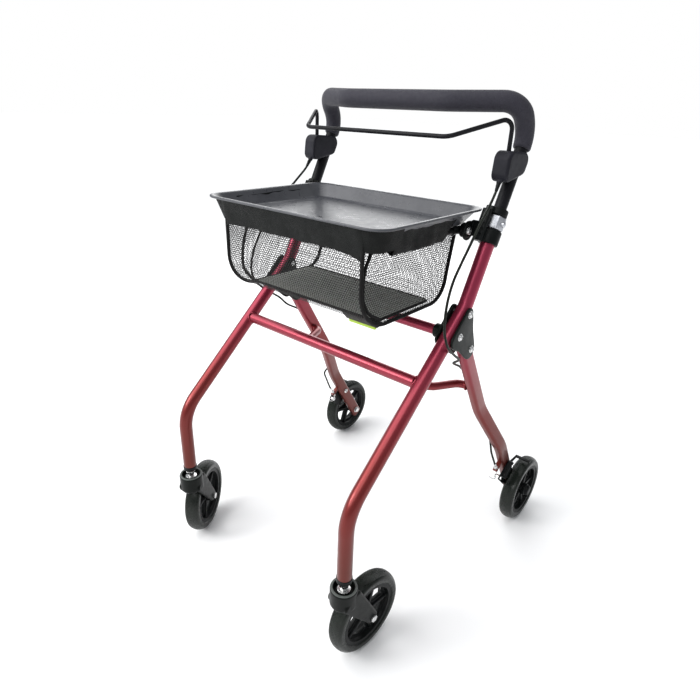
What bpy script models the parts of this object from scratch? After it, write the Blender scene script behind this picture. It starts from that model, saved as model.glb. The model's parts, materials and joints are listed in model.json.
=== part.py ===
"""Indoor rollator (four-wheeled walker) with a serving tray over a mesh basket.

Metres, +Z up, floor at z = 0. The walker faces -Y, the user stands at +Y, and x = 0 is its middle plane.
The front casters trail their stems; the left one rests turned by CASTER_REST[LEFT].
"""

import math

import bmesh
import bpy
from mathutils import Matrix, Vector

LEFT = -1
RIGHT = 1
SIDES = ((LEFT, "left"), (RIGHT, "right"))
GAP = 0.0003

# Front frame
LEG_X = 0.215
LEG_R = 0.0127
LEG_BORE_R = 0.0115
STEM_Y = -0.311
LEG_BOTTOM_Z = 0.189
LOWER_BEND_Z = 0.324
UPPER_BEND_Y = -0.0213
UPPER_BEND_Z = 0.5847
MAST_LEAN = math.radians(26.8)
LEG_TOP_Z = 0.7065
CROSSBAR_Z = 0.4815
CROSSBAR_R = 0.0105

# Pivot brackets: three bolts, as (y, z) in the side view
TOP_BOLT = (-0.031, 0.580)
BAR_BOLT = (-0.057, 0.547)
HINGE_BOLT = (-0.011, 0.511)
OUTER_PLATE_X = (0.2281, 0.2326)
INNER_PLATE_X = (0.1974, 0.2019)
BOLT_R = 0.0032
BOLT_HEAD_R = 0.0060
LATCH_BAR_R = 0.0090
BRACKET_LOBES = ((*TOP_BOLT, 0.0115), (-0.0655, 0.5415, 0.0145), (-0.0150, 0.5100, 0.0170))

# Pull handle under the latch bar, and the trigger set into its lower edge
PULL_EYE_R = 0.0135
PULL_FOOT = (-0.0265, 0.5080, 0.0100)
PULL_HALF_WIDTHS = (0.050, 0.040)
TRIGGER_WIDTH = 0.0680
TRIGGER_DEPTH = 0.0080
TRIGGER_Z = (0.4935, 0.5050)

# Rear frame, hinged on HINGE_BOLT
REAR_LEAN = math.radians(31.6)
REAR_TOP_X = 0.2150
REAR_FOOT_X = 0.2460
REAR_JOG_Z = (0.335, 0.225)
REAR_WIDTH = 0.018
REAR_DEPTH = 0.030
STAY_R = 0.0080

# Wheels
WHEEL_R = 0.0773
WHEEL_WIDTH = 0.031
TYRE_INNER_R = 0.0600
REAR_WHEEL_X = 0.2740
REAR_AXLE_Y = 0.2590
AXLE_R = 0.0040
HUB_BORE_R = 0.0043
SPOKES = 5

# Brakes on the rear legs
BRAKE_BOLT_Z = 0.1600
BRAKE_PLATE_X = (0.2553, 0.2580)
BRAKE_BOSS_X = 0.2660
BRAKE_LEVER_TIP = (0.1702, 0.1453)
BRAKE_BAR = (0.2500, 0.1612)
BRAKE_BAR_X = 0.2900
ADJUSTER_Z = 0.1830
ADJUSTER_REACH = 0.0175
ADJUSTER_LUG = 0.0235
BARREL_R = 0.0040
BARREL_UP = 0.012
BARREL_DOWN = 0.013

# Casters
TRAIL = 0.053
CASTER_REST = {LEFT: math.radians(33), RIGHT: math.radians(-4)}
FORK_TOP_Z = 0.1750
FORK_LOW_Z = 0.1370
FORK_HUB_R = 0.0235
FORK_ARM_X = (0.0175, 0.0228)

# Handle, sliding in the front legs
HANDLE_R = 0.0110
HANDLE_BORE_R = 0.0114
HANDLE_LOW_Z = 0.6440

# Height clamp on each mast: (from z, to z, outer radius) of its collars, its spine, and the nut
LOWER_COLLAR = (0.6860, 0.7075, 0.0170)
UPPER_COLLAR = (0.7300, 0.7405, 0.0158)
SPINE_Z = (0.6835, 0.7330)
SPINE_FORWARD = 0.0245
SPINE_INWARD = 0.0080
SPINE_SECTION = (0.016, 0.0105)
WEB_FORWARD = 0.0150
WEB_SIZE = 0.0140
CLAMP_LUG_X = (0.1868, 0.1900)
CLAMP_LUG_R = 0.0165
NUT_SPAN = (0.7085, 0.7290)
NUT_R = 0.0172
NUT_TURN = math.radians(50)
GRIP_R = 0.0165
GRIP_LOW_Z = 0.8340

# Brake lever hoop
HOOP_R = 0.0036
HOOP_PIVOT = (0.0600, 0.8200)
HOUSING_WIDTH = 0.030
HOUSING_Z = 0.8010
HOUSING_LOBES = (
    (0.0390, 0.0000, 0.0155),
    (0.0345, -0.0205, 0.0125),
    (0.0000, 0.0180, 0.0145),
    (0.0000, 0.0078, 0.0145),
)

# Tray carrier, tray and basket
CARRIER_BOLT = (0.0060, 0.7082)
CARRIER_LUG_X = (0.1775, 0.1862)
CARRIER_LUG_R = 0.0125
CARRIER_R = 0.0050
CARRIER_X = 0.1745
CARRIER_FRONT_Y = -0.2170
TRAY_HALF_WIDTH = 0.1974
TRAY_Y = (-0.2430, 0.0530)
TRAY_RIM_Z = 0.7424
TRAY_FLOOR_Z = 0.7170
BASKET_X = 0.1530
BASKET_Y = (-0.2270, 0.0280)
BASKET_Z = (0.5775, 0.7026)
BASKET_WALL = 0.0025
BASKET_CORNERS = (0.054, 0.044)
BASKET_REAR_SLOPE = 0.016

# Brake cables. Each lies on the side of its rear leg that looks towards -X: (height, shift along Y)
CABLE_R = 0.0022
CABLE_POINTS = 72
CABLE_ASIDE = REAR_WIDTH / 2 + CABLE_R + 0.0025
CABLE_ON_LEG = (
    (0.455, -0.008),
    (0.425, 0.006),
    (0.400, 0.009),
    (0.365, 0.009),
    (0.325, 0.007),
    (0.285, 0.004),
    (0.252, -0.002),
)
CABLE_TO_ADJUSTER = {
    LEFT: [(0.2545, 0.1385, 0.2360), (0.2500, 0.1425, 0.2160)],
    RIGHT: [(0.2315, 0.1500, 0.2290), (0.2375, 0.1475, 0.2130)],
}

FRAME_COLOUR = (0.33, 0.015, 0.035)
PLASTIC_COLOUR = (0.02, 0.02, 0.022)
CHROME_COLOUR = (0.75, 0.75, 0.76)


def clear_scene():
    for obj in list(bpy.data.objects):
        bpy.data.objects.remove(obj, do_unlink=True)


def material(name, colour, roughness, metallic=0.0):
    mat = bpy.data.materials.new(name)
    mat.use_nodes = True
    shader = mat.node_tree.nodes["Principled BSDF"]
    shader.inputs["Base Color"].default_value = (*colour, 1.0)
    shader.inputs["Roughness"].default_value = roughness
    shader.inputs["Metallic"].default_value = metallic
    return mat


def group(name, location, parent=None):
    """An empty on a joint's axis; the pieces of that moving body are its children."""
    empty = bpy.data.objects.new(name, None)
    bpy.context.scene.collection.objects.link(empty)
    empty.parent = parent
    origin = parent.matrix_world.translation if parent else Vector()
    empty.location = Vector(location) - origin
    bpy.context.view_layer.update()
    return empty


def finish(name, bm, body, look):
    """Turns a bmesh in world coordinates into a named object that hangs on its body's empty."""
    bmesh.ops.recalc_face_normals(bm, faces=bm.faces)
    mesh = bpy.data.meshes.new(name)
    anchor = body.matrix_world.inverted()
    bm.transform(anchor)
    bm.to_mesh(mesh)
    bm.free()
    mesh.shade_smooth()
    mesh.set_sharp_from_angle(angle=math.radians(35))
    mesh.materials.append(MATERIALS[look])
    obj = bpy.data.objects.new(name, mesh)
    bpy.context.scene.collection.objects.link(obj)
    obj.parent = body
    return obj


def combine(obj, bm, operation):
    """Adds or removes a helper solid with a Boolean; the helper itself isn't rendered."""
    helper = finish(f"{obj.name}.{operation.lower()}", bm, obj.parent, "plastic")
    helper.hide_render = True
    helper.display_type = "WIRE"
    modifier = obj.modifiers.new(helper.name, "BOOLEAN")
    modifier.operation = operation
    modifier.object = helper


def cut(obj, bm):
    combine(obj, bm, "DIFFERENCE")


def join(obj, bm):
    combine(obj, bm, "UNION")


# Solids as bmeshes


def ring_solid(rings, closed=False):
    """A solid through a row of equal rings of points, capped at both ends or closed on itself."""
    bm = bmesh.new()
    rows = [[bm.verts.new(point) for point in ring] for ring in rings]
    count = len(rows[0])
    pairs = list(zip(rows, rows[1:]))
    if closed:
        pairs.append((rows[-1], rows[0]))
    for low, high in pairs:
        for i in range(count):
            j = (i + 1) % count
            bm.faces.new((low[i], low[j], high[j], high[i]))
    if not closed:
        bm.faces.new(rows[0][::-1])
        bm.faces.new(rows[-1])
    return bm


def circle(radius, sides):
    turns = [2 * math.pi * i / sides for i in range(sides)]
    return [(radius * math.cos(turn), radius * math.sin(turn)) for turn in turns]


def rounded_rectangle(width, depth, radius, arc=3):
    """A rectangle's outline about its centre, with round corners of arc steps each."""
    points = []
    for quarter, (sx, sy) in enumerate(((1, 1), (-1, 1), (-1, -1), (1, -1))):
        for i in range(arc + 1):
            turn = math.pi / 2 * (quarter + i / arc)
            x = sx * (width / 2 - radius) + radius * math.cos(turn)
            y = sy * (depth / 2 - radius) + radius * math.sin(turn)
            points.append((x, y))
    return points


def hull_outline(circles, steps=18):
    """The outline of a flat plate stretched round several circles, given as (y, z, radius)."""
    points = []
    for y, z, radius in circles:
        points += [(y + a, z + b) for a, b in circle(radius, steps)]
    points = sorted(set(points))

    def half(row):
        chain = []
        for point in row:
            while len(chain) > 1 and turn_of(chain[-2], chain[-1], point) <= 1e-9:
                chain.pop()
            chain.append(point)
        return chain[:-1]

    return half(points) + half(points[::-1])


def turn_of(a, b, c):
    return (b[0] - a[0]) * (c[1] - a[1]) - (b[1] - a[1]) * (c[0] - a[0])


def plate(outline, x_from, x_to):
    """A flat plate with its outline in the side view, as (y, z), between two values of x."""
    return ring_solid([[(x, y, z) for y, z in outline] for x in (x_from, x_to)])


def rod(start, end, radius, sides=16):
    start = Vector(start)
    end = Vector(end)
    turn = (end - start).to_track_quat("Z", "Y").to_matrix()
    profile = [turn @ Vector((a, b, 0)) for a, b in circle(radius, sides)]
    return ring_solid([[start + p for p in profile], [end + p for p in profile]])


def turned(centre, axis, profile, sides):
    """A solid of revolution: profile is a closed loop of (radius, height along the axis)."""
    turn = Vector(axis).to_track_quat("Z", "Y").to_matrix()
    centre = Vector(centre)
    rings = []
    for a, b in circle(1.0, sides):
        rings.append([centre + turn @ Vector((a * r, b * r, h)) for r, h in profile])
    return ring_solid(rings, closed=True)


def turned_solid(centre, axis, profile, sides):
    """A solid of revolution without a bore: profile runs from one end face to the other."""
    turn = Vector(axis).to_track_quat("Z", "Y").to_matrix()
    centre = Vector(centre)
    rings = []
    for r, h in profile:
        rings.append([centre + turn @ Vector((a, b, h)) for a, b in circle(r, sides)])
    return ring_solid(rings)


# Bent tubes


def rounded_path(corners, radii, step=math.radians(12)):
    """Points along a bent tube's middle line: straight runs joined by arcs at the inner corners."""
    corners = [Vector(corner) for corner in corners]
    points = [corners[0]]
    for before, corner, after, radius in zip(corners, corners[1:], corners[2:], radii):
        into = (corner - before).normalized()
        out = (after - corner).normalized()
        bend = into.angle(out)
        if bend < 1e-4:
            points.append(corner)
            continue
        inset = radius * math.tan(bend / 2)
        middle = corner + (out - into).normalized() * radius / math.cos(bend / 2)
        start = corner - into * inset - middle
        axis = into.cross(out).normalized()
        count = max(2, math.ceil(bend / step))
        for i in range(count + 1):
            points.append(middle + Matrix.Rotation(bend * i / count, 3, axis) @ start)
    points.append(corners[-1])
    return points


def frames_along(path, side):
    """For each point of a path: the point, a side vector kept near the given one, and a third axis."""
    frames = []
    for i, point in enumerate(path):
        ahead = path[min(i + 1, len(path) - 1)]
        behind = path[max(i - 1, 0)]
        along = (ahead - behind).normalized()
        if 0 < i < len(path) - 1:
            along = ((ahead - point).normalized() + (point - behind).normalized()).normalized()
        across = (Vector(side) - along * along.dot(Vector(side))).normalized()
        frames.append((point, across, along.cross(across)))
    return frames


def carried_frames(path):
    """Frames that turn as little as possible along a path in space."""
    frames = []
    side = (path[1] - path[0]).orthogonal()
    for i in range(len(path)):
        frames.append(frames_along(path, side)[i])
        side = frames[-1][1]
    return frames


def rings_on(frames, profile):
    return [[p + a * u + b * v for u, v in profile] for p, a, b in frames]


def bent_rod(path, radius, sides=10):
    return ring_solid(rings_on(carried_frames(path), circle(radius, sides)))


def bent_sleeve(path, outer, inner, sides=18):
    """A bent tube that is open at both ends."""
    frames = carried_frames(path)
    rings = rings_on(frames, circle(outer, sides)) + rings_on(frames, circle(inner, sides))[::-1]
    return ring_solid(rings, closed=True)


def smooth_route(points, count):
    """Points read from a Catmull-Rom curve through a cable's own route points."""
    knots = [Vector(p) for p in points]
    knots = [2 * knots[0] - knots[1]] + knots + [2 * knots[-1] - knots[-2]]
    route = []
    spans = len(knots) - 3
    for i in range(count + 1):
        place = min(i / count * spans, spans - 1e-9)
        k = int(place)
        t = place - k
        a, b, c, d = knots[k : k + 4]
        route.append(
            0.5 * (2 * b + (c - a) * t + (2 * a - 5 * b + 4 * c - d) * t * t + (3 * b - a - 3 * c + d) * t**3)
        )
    return route


# Frame geometry


def mast_point(z):
    """The point (y, z) of the front leg's upper run, and of the handle tube inside it."""
    return (UPPER_BEND_Y + (z - UPPER_BEND_Z) * math.tan(MAST_LEAN), z)


def rear_point(z):
    """The point (y, z) of the rear leg's axis, which passes through the axle."""
    return (REAR_AXLE_Y - (z - WHEEL_R) * math.tan(REAR_LEAN), z)


MAST = Vector((0, math.sin(MAST_LEAN), math.cos(MAST_LEAN)))
MAST_FORWARD = Vector((0, -math.cos(MAST_LEAN), math.sin(MAST_LEAN)))
REAR_DOWN = Vector((0, math.sin(REAR_LEAN), -math.cos(REAR_LEAN)))
REAR_FORWARD = Vector((0, -math.cos(REAR_LEAN), -math.sin(REAR_LEAN)))
BRAKE_BOLT = rear_point(BRAKE_BOLT_Z)


def on_mast(side, z, forward=0.0, inward=0.0):
    return Vector((side * (LEG_X - inward), *mast_point(z))) + MAST_FORWARD * forward


def in_side_view(points, side):
    """Mirrors points given for the right side, when side is LEFT."""
    return [Vector((side * x, y, z)) for x, y, z in points]


def span(side, low, high):
    """Two x values given for the right side, put in rising order for this side."""
    return sorted((side * low, side * high))


def drill(obj, side, spot, radius, x_from, x_to, sides=12):
    """A round hole along X through (y, z)."""
    cut(obj, rod((side * x_from, *spot), (side * x_to, *spot), radius, sides))


# Sub-parts


def front_leg(side, word, body):
    top = mast_point(LEG_TOP_Z)
    corners = in_side_view(
        (
            (LEG_X, STEM_Y, LEG_BOTTOM_Z),
            (LEG_X, STEM_Y, LOWER_BEND_Z),
            (LEG_X, UPPER_BEND_Y, UPPER_BEND_Z),
            (LEG_X, *top),
        ),
        side,
    )
    path = rounded_path(corners, (0.085, 0.070), math.radians(9))
    socket_depth = 0.118
    outside = rings_on(frames_along(path, (1, 0, 0)), circle(LEG_R, 16))
    socket = [path[-1], path[-1] - MAST * socket_depth]
    socket_frames = [(p, Vector((1, 0, 0)), MAST.cross(Vector((1, 0, 0)))) for p in socket]
    inside = rings_on(socket_frames, circle(LEG_BORE_R, 16))
    leg = finish(f"front_leg_{word}", ring_solid(outside + inside), body, "frame")
    foot = Vector((side * LEG_X, STEM_Y, LEG_BOTTOM_Z))
    cut(leg, rod(foot - Vector((0, 0, 0.01)), foot + Vector((0, 0, 0.0305)), 0.0058, 14))
    for spot in (TOP_BOLT, BAR_BOLT):
        drill(leg, side, spot, BOLT_R + GAP, 0.190, 0.240)
    return leg


def front_crossbar(body):
    spot = (STEM_Y + (CROSSBAR_Z - LOWER_BEND_Z) * slant(), CROSSBAR_Z)
    bar = finish("front_crossbar", rod((-LEG_X, *spot), (LEG_X, *spot), CROSSBAR_R, 16), body, "frame")
    reach = Vector((0, slant(), 1)).normalized() * 0.05
    for side, _ in SIDES:
        middle = Vector((side * LEG_X, *spot))
        cut(bar, rod(middle - reach, middle + reach, LEG_R + GAP, 28))
    return bar


def slant():
    """Rise in y for each metre of z along the front leg's middle run."""
    return (UPPER_BEND_Y - STEM_Y) / (UPPER_BEND_Z - LOWER_BEND_Z)


def bracket_plates(side, word, body):
    outline = hull_outline(BRACKET_LOBES)
    for place, xs in (("outer", OUTER_PLATE_X), ("inner", INNER_PLATE_X)):
        side_plate = finish(f"bracket_{place}_{word}", plate(outline, *span(side, *xs)), body, "plastic")
        for spot in (TOP_BOLT, BAR_BOLT, HINGE_BOLT):
            drill(side_plate, side, spot, BOLT_R + GAP, 0.190, 0.240)


def bracket_bolts(side, word, body):
    head = OUTER_PLATE_X[1] + GAP
    for place, spot in (("top", TOP_BOLT), ("bar", BAR_BOLT), ("hinge", HINGE_BOLT)):
        profile = (
            (BOLT_R, INNER_PLATE_X[0]),
            (BOLT_R, head),
            (BOLT_HEAD_R, head),
            (BOLT_HEAD_R, head + 0.0020),
            (BOLT_HEAD_R * 0.6, head + 0.0036),
        )
        bolt = turned_solid((0, *spot), (side, 0, 0), profile, 12)
        finish(f"bracket_{place}_bolt_{word}", bolt, body, "chrome")


def latch(body):
    """The cross bar between the brackets, with its pull handle and the release trigger under it."""
    end = INNER_PLATE_X[0] - GAP
    finish("latch_bar", rod((-end, *BAR_BOLT), (end, *BAR_BOLT), LATCH_BAR_R, 16), body, "frame")
    y, z = BAR_BOLT
    wide, narrow = PULL_HALF_WIDTHS
    outline = hull_outline(((y, z, PULL_EYE_R), PULL_FOOT), 26)
    grip = finish("pull_handle", plate(outline, -narrow, narrow), body, "plastic")
    neck = hull_outline(((y, z, PULL_EYE_R - 0.0004), (y + 0.012, z - 0.018, 0.0100)), 22)
    join(grip, plate(neck, -wide, wide))
    cut(grip, rod((-0.06, y, z), (0.06, y, z), LATCH_BAR_R + GAP, 18))
    clearance = 2 * GAP + 0.0006
    slot = rounded_rectangle(TRIGGER_WIDTH + clearance, TRIGGER_DEPTH + clearance, 0.003)
    heights = (TRIGGER_Z[0] - 0.001, TRIGGER_Z[1] + 0.005)
    cut(grip, ring_solid([[(a, PULL_FOOT[0] + b, h) for a, b in slot] for h in heights]))


def release_trigger(body):
    outline = rounded_rectangle(TRIGGER_WIDTH, TRIGGER_DEPTH, 0.0028)
    trigger = ring_solid([[(a, PULL_FOOT[0] + b, h) for a, b in outline] for h in TRIGGER_Z])
    finish("release_trigger", trigger, body, "lime")


def clamp(side, word, body):
    """The two collars round the mast, joined by a spine in front of it."""
    collars = ((LOWER_COLLAR, LEG_R + GAP), (UPPER_COLLAR, HANDLE_BORE_R))
    rods = [rod(on_mast(side, low), on_mast(side, high), outer, 24) for (low, high, outer), _ in collars]
    body_mesh = finish(f"mast_clamp_{word}", rods[0], body, "plastic")
    join(body_mesh, rods[1])
    join(body_mesh, block_on_mast(side, SPINE_Z, SPINE_FORWARD, SPINE_INWARD, (*SPINE_SECTION, 0.003)))
    for (low, high, _), _ in collars:
        heights = (low + 0.0012, high - 0.0012)
        join(body_mesh, block_on_mast(side, heights, WEB_FORWARD, SPINE_INWARD, (WEB_SIZE, WEB_SIZE, 0.002)))
    for (low, high, _), bore in collars:
        cut(body_mesh, rod(on_mast(side, low - 0.004), on_mast(side, high + 0.004), bore, 24))


def clamp_lug(side, word, body):
    """The round eye for the tray carrier's bolt, with a short arm that reaches the clamp's spine."""
    y, z = CARRIER_BOLT
    outline = hull_outline(((y, z, CLAMP_LUG_R), (y + 0.0130, z + 0.0030, 0.0120)), 24)
    lug = finish(f"clamp_lug_{word}", plate(outline, *span(side, *CLAMP_LUG_X)), body, "plastic")
    arm = hull_outline(((y + 0.0130, z + 0.0043, 0.0045), (y + 0.0155, z + 0.0118, 0.0045)), 16)
    spine_x = LEG_X - SPINE_INWARD - SPINE_SECTION[0] / 2
    join(lug, plate(arm, *span(side, CLAMP_LUG_X[0] + 0.0002, spine_x - GAP)))
    drill(lug, side, CARRIER_BOLT, BOLT_R + GAP, 0.180, 0.196, 14)


def block_on_mast(side, heights, forward, inward, section):
    """A rounded block along the mast, in front of it; the section is (width, depth, corner radius)."""
    rings = []
    for z in heights:
        centre = on_mast(side, z, forward=forward, inward=inward)
        rings.append([centre + Vector((a, 0, 0)) + MAST_FORWARD * b for a, b in rounded_rectangle(*section)])
    return ring_solid(rings)


def clamp_nut(side, word, body):
    """The hexagonal height-lock block between the clamp's collars, with a button on its outer face."""
    low, high = NUT_SPAN
    shrink = 0.0014
    rings = []
    for z, radius in (
        (low, NUT_R - shrink),
        (low + shrink, NUT_R),
        (high - shrink, NUT_R),
        (high, NUT_R - shrink),
    ):
        ring = []
        for k in range(6):
            turn = NUT_TURN + math.pi / 3 * k
            out = radius * math.cos(turn)
            ahead = radius * math.sin(turn)
            ring.append(on_mast(side, z, forward=ahead, inward=-out))
        rings.append(ring)
    nut = finish(f"height_nut_{word}", ring_solid(rings), body, "chrome")
    middle = (low + high) / 2
    button = rod(
        on_mast(side, middle, inward=-0.0130),
        on_mast(side, middle, inward=-0.0190),
        0.0048,
        12,
    )
    join(nut, button)
    cut(nut, rod(on_mast(side, low - 0.004), on_mast(side, high + 0.004), HANDLE_BORE_R + 0.0003, 16))


def rear_leg(side, word, body):
    top_z = HINGE_BOLT[1] + 0.0155
    foot_z = WHEEL_R - 0.0140
    corners = in_side_view(
        (
            (REAR_TOP_X, *rear_point(top_z)),
            (REAR_TOP_X, *rear_point(REAR_JOG_Z[0])),
            (REAR_FOOT_X, *rear_point(REAR_JOG_Z[1])),
            (REAR_FOOT_X, *rear_point(foot_z)),
        ),
        side,
    )
    path = rounded_path(corners, (0.16, 0.16), math.radians(4))
    outline = rounded_rectangle(REAR_WIDTH, REAR_DEPTH, 0.0065)
    solid = ring_solid(rings_on(frames_along(path, (1, 0, 0)), outline))
    leg = finish(f"rear_leg_{word}", solid, body, "frame")
    drill(leg, side, HINGE_BOLT, BOLT_R + GAP, 0.190, 0.240)
    drill(leg, side, (REAR_AXLE_Y, WHEEL_R), HUB_BORE_R, 0.220, 0.270)
    drill(leg, side, BRAKE_BOLT, BOLT_R + GAP, 0.220, 0.270)
    round_end(leg, side, rear_point(top_z), -REAR_DOWN)
    return leg


def round_end(leg, side, tip, along):
    """Rounds the leg's end in the side view by cutting away what lies outside a half circle."""
    radius = REAR_DEPTH / 2 + 0.0002
    centre = Vector((0, *tip)) - along * radius
    square = []
    steps = 10
    for i in range(steps + 1):
        turn = math.pi * i / steps - math.pi / 2
        square.append(centre + (along * math.cos(turn) + REAR_FORWARD * math.sin(turn)) * radius)
    square.append(centre + REAR_FORWARD * 0.03 + along * -0.0001)
    square.append(centre + REAR_FORWARD * 0.03 + along * 0.04)
    square.append(centre - REAR_FORWARD * 0.03 + along * 0.04)
    square.append(centre - REAR_FORWARD * 0.03 + along * -0.0001)
    low, high = span(side, 0.19, 0.24)
    cut(leg, ring_solid([[Vector((x, p.y, p.z)) for p in square] for x in (low, high)]))


def rear_stay(body):
    """The bar that bows forward between the rear legs."""
    face = REAR_TOP_X - REAR_WIDTH / 2 - GAP
    right = ((face, 0.0480, 0.4060), (0.1900, 0.0480, 0.4060), (0.1600, -0.0190, 0.4107))
    corners = [(x, y, z) for x, y, z in right] + [(-x, y, z) for x, y, z in right[::-1]]
    path = rounded_path(corners, (0.022, 0.030, 0.030, 0.022), math.radians(20))
    finish("rear_stay", bent_rod(path, STAY_R, 10), body, "frame")


def brake_arm(side, word, body):
    """The brake lever outside the leg: the wire lifts its tip, and its rear bar comes down on the tyre."""
    x_low, x_high = BRAKE_PLATE_X
    bar_y, bar_z = BRAKE_BAR
    eye = (*BRAKE_BOLT, 0.0095)
    front = hull_outline((eye, (*BRAKE_LEVER_TIP, 0.0060), (0.1990, 0.1180, 0.0065)))
    arm = finish(f"brake_arm_{word}", plate(front, *span(side, x_low, x_high)), body, "plastic")
    join(arm, plate(hull_outline((eye, (0.1860, 0.1460, 0.0085))), *span(side, x_low, BRAKE_BOSS_X)))
    rear = hull_outline(((BRAKE_BOLT[0], BRAKE_BOLT[1] + 0.0020, 0.0045), (bar_y, bar_z, 0.0034)))
    join(arm, plate(rear, *span(side, x_low, x_high)))
    section = rounded_rectangle(0.0085, 0.0036, 0.0012)
    bar = [(bar_y + a, bar_z + b) for a, b in section]
    join(arm, plate(bar, *span(side, x_low, BRAKE_BAR_X)))
    drill(arm, side, BRAKE_BOLT, BOLT_R + GAP, 0.240, 0.280)


def brake_bolt(side, word, body):
    inside = REAR_FOOT_X - REAR_WIDTH / 2 - GAP
    profile = (
        (0.0030, inside - 0.0040),
        (BOLT_HEAD_R, inside - 0.0022),
        (BOLT_HEAD_R, inside),
        (BOLT_R, inside),
        (BOLT_R, BRAKE_BOSS_X - 0.0005),
    )
    finish(f"brake_bolt_{word}", turned_solid((0, *BRAKE_BOLT), (side, 0, 0), profile, 12), body, "chrome")


def cable_adjuster(side, word, body):
    """A lug on the rear leg's front face that holds the threaded barrel where the cable ends."""
    face = Vector((side * REAR_FOOT_X, *rear_point(ADJUSTER_Z))) + REAR_FORWARD * (REAR_DEPTH / 2 + GAP)
    section = rounded_rectangle(0.010, 0.0060, 0.0015)
    rings = []
    for reach in (0.0, ADJUSTER_LUG):
        centre = face + REAR_FORWARD * reach
        rings.append([centre + Vector((a, 0, 0)) + REAR_DOWN * b for a, b in section])
    lug = finish(f"cable_adjuster_{word}", ring_solid(rings), body, "chrome")
    axis = face + REAR_FORWARD * ADJUSTER_REACH
    join(lug, rod(axis - REAR_DOWN * BARREL_UP, axis + REAR_DOWN * BARREL_DOWN, BARREL_R, 12))


def adjuster_top(side):
    face = Vector((side * REAR_FOOT_X, *rear_point(ADJUSTER_Z))) + REAR_FORWARD * (REAR_DEPTH / 2 + GAP)
    return face + REAR_FORWARD * ADJUSTER_REACH - REAR_DOWN * (BARREL_UP + 2 * GAP)


def rear_axle(side, word, body):
    inside = REAR_FOOT_X - REAR_WIDTH / 2 - GAP
    profile = (
        (0.0040, inside - 0.0050),
        (0.0072, inside - 0.0035),
        (0.0072, inside),
        (AXLE_R, inside),
        (AXLE_R, REAR_WHEEL_X + 0.0150),
    )
    bolt = turned_solid((0, REAR_AXLE_Y, WHEEL_R), (side, 0, 0), profile, 12)
    finish(f"rear_axle_{word}", bolt, body, "chrome")


def wheel_profile(outer_face, inner_face, bore_end):
    """A rim's half section, as a loop of (radius, height): hub, web and rim flange with a bore."""
    flange = 0.0125
    web = 0.0045
    rim_r = TYRE_INNER_R - GAP
    loop = [
        (HUB_BORE_R, -inner_face),
        (0.0130, -inner_face),
        (0.0140, -web),
        (0.0500, -web),
        (0.0520, -flange),
        (rim_r, -flange),
        (rim_r, flange),
        (0.0520, flange),
        (0.0500, web),
        (0.0140, web),
        (0.0130, outer_face),
    ]
    return loop + [(HUB_BORE_R, bore_end)]


def cut_windows(rim, centre, axis):
    """Five windows between the spokes."""
    turn = Vector(axis).to_track_quat("Z", "Y").to_matrix()
    for k in range(SPOKES):
        middle = 2 * math.pi * (k + 0.5) / SPOKES
        half = math.pi / SPOKES
        outline = []
        for radius, spread in ((0.0480, half - 0.16), (0.0215, half - 0.36)):
            steps = 3
            row = [(radius, middle - spread + 2 * spread * i / steps) for i in range(steps + 1)]
            outline += row if not outline else row[::-1]
        rings = []
        for height in (-0.02, 0.02):
            spots = [Vector((r * math.cos(a), r * math.sin(a), height)) for r, a in outline]
            rings.append([Vector(centre) + turn @ spot for spot in spots])
        cut(rim, ring_solid(rings))


def tyre(name, centre, axis, body):
    half = WHEEL_WIDTH / 2
    crown = WHEEL_R
    shoulder = WHEEL_R - 0.0075
    profile = (
        (TYRE_INNER_R, -half + 0.002),
        (TYRE_INNER_R + 0.003, -half),
        (shoulder, -half),
        (crown - 0.0020, -half * 0.62),
        (crown, 0.0),
        (crown - 0.0020, half * 0.62),
        (shoulder, half),
        (TYRE_INNER_R + 0.003, half),
        (TYRE_INNER_R, half - 0.002),
    )
    finish(name, turned(centre, axis, profile, 28), body, "tyre")


def rear_wheel(side, word, body):
    centre = (side * REAR_WHEEL_X, REAR_AXLE_Y, WHEEL_R)
    axis = (side, 0, 0)
    tyre(f"rear_tyre_{word}", centre, axis, body)
    inner = 0.0155
    outer = 0.0250
    loop = wheel_profile(outer, inner, 0.0170)
    rim = finish(f"rear_rim_{word}", turned(centre, axis, loop, 28), body, "plastic")
    cap = rod(
        Vector(centre) + Vector(axis) * 0.0160,
        Vector(centre) + Vector(axis) * (outer - 0.0005),
        0.0080,
        16,
    )
    join(rim, cap)
    cut_windows(rim, centre, axis)


def caster_stem(side, word, body):
    centre = (side * LEG_X, STEM_Y, 0)
    profile = (
        (0.0050, 0.1560),
        (0.0055, 0.1570),
        (0.0055, 0.1775),
        (0.0085, 0.1775),
        (0.0085, 0.1825),
        (0.0068, 0.1840),
        (0.0055, 0.1850),
        (0.0055, 0.2170),
    )
    finish(f"caster_stem_{word}", turned_solid(centre, (0, 0, 1), profile, 16), body, "chrome")


def caster_turn(side):
    """The caster's rest turn about its stem, as a matrix that works on world coordinates."""
    stem = Vector((side * LEG_X, STEM_Y, 0))
    turn = Matrix.Rotation(CASTER_REST[side], 4, "Z")
    return Matrix.Translation(stem) @ turn @ Matrix.Translation(-stem)


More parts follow.
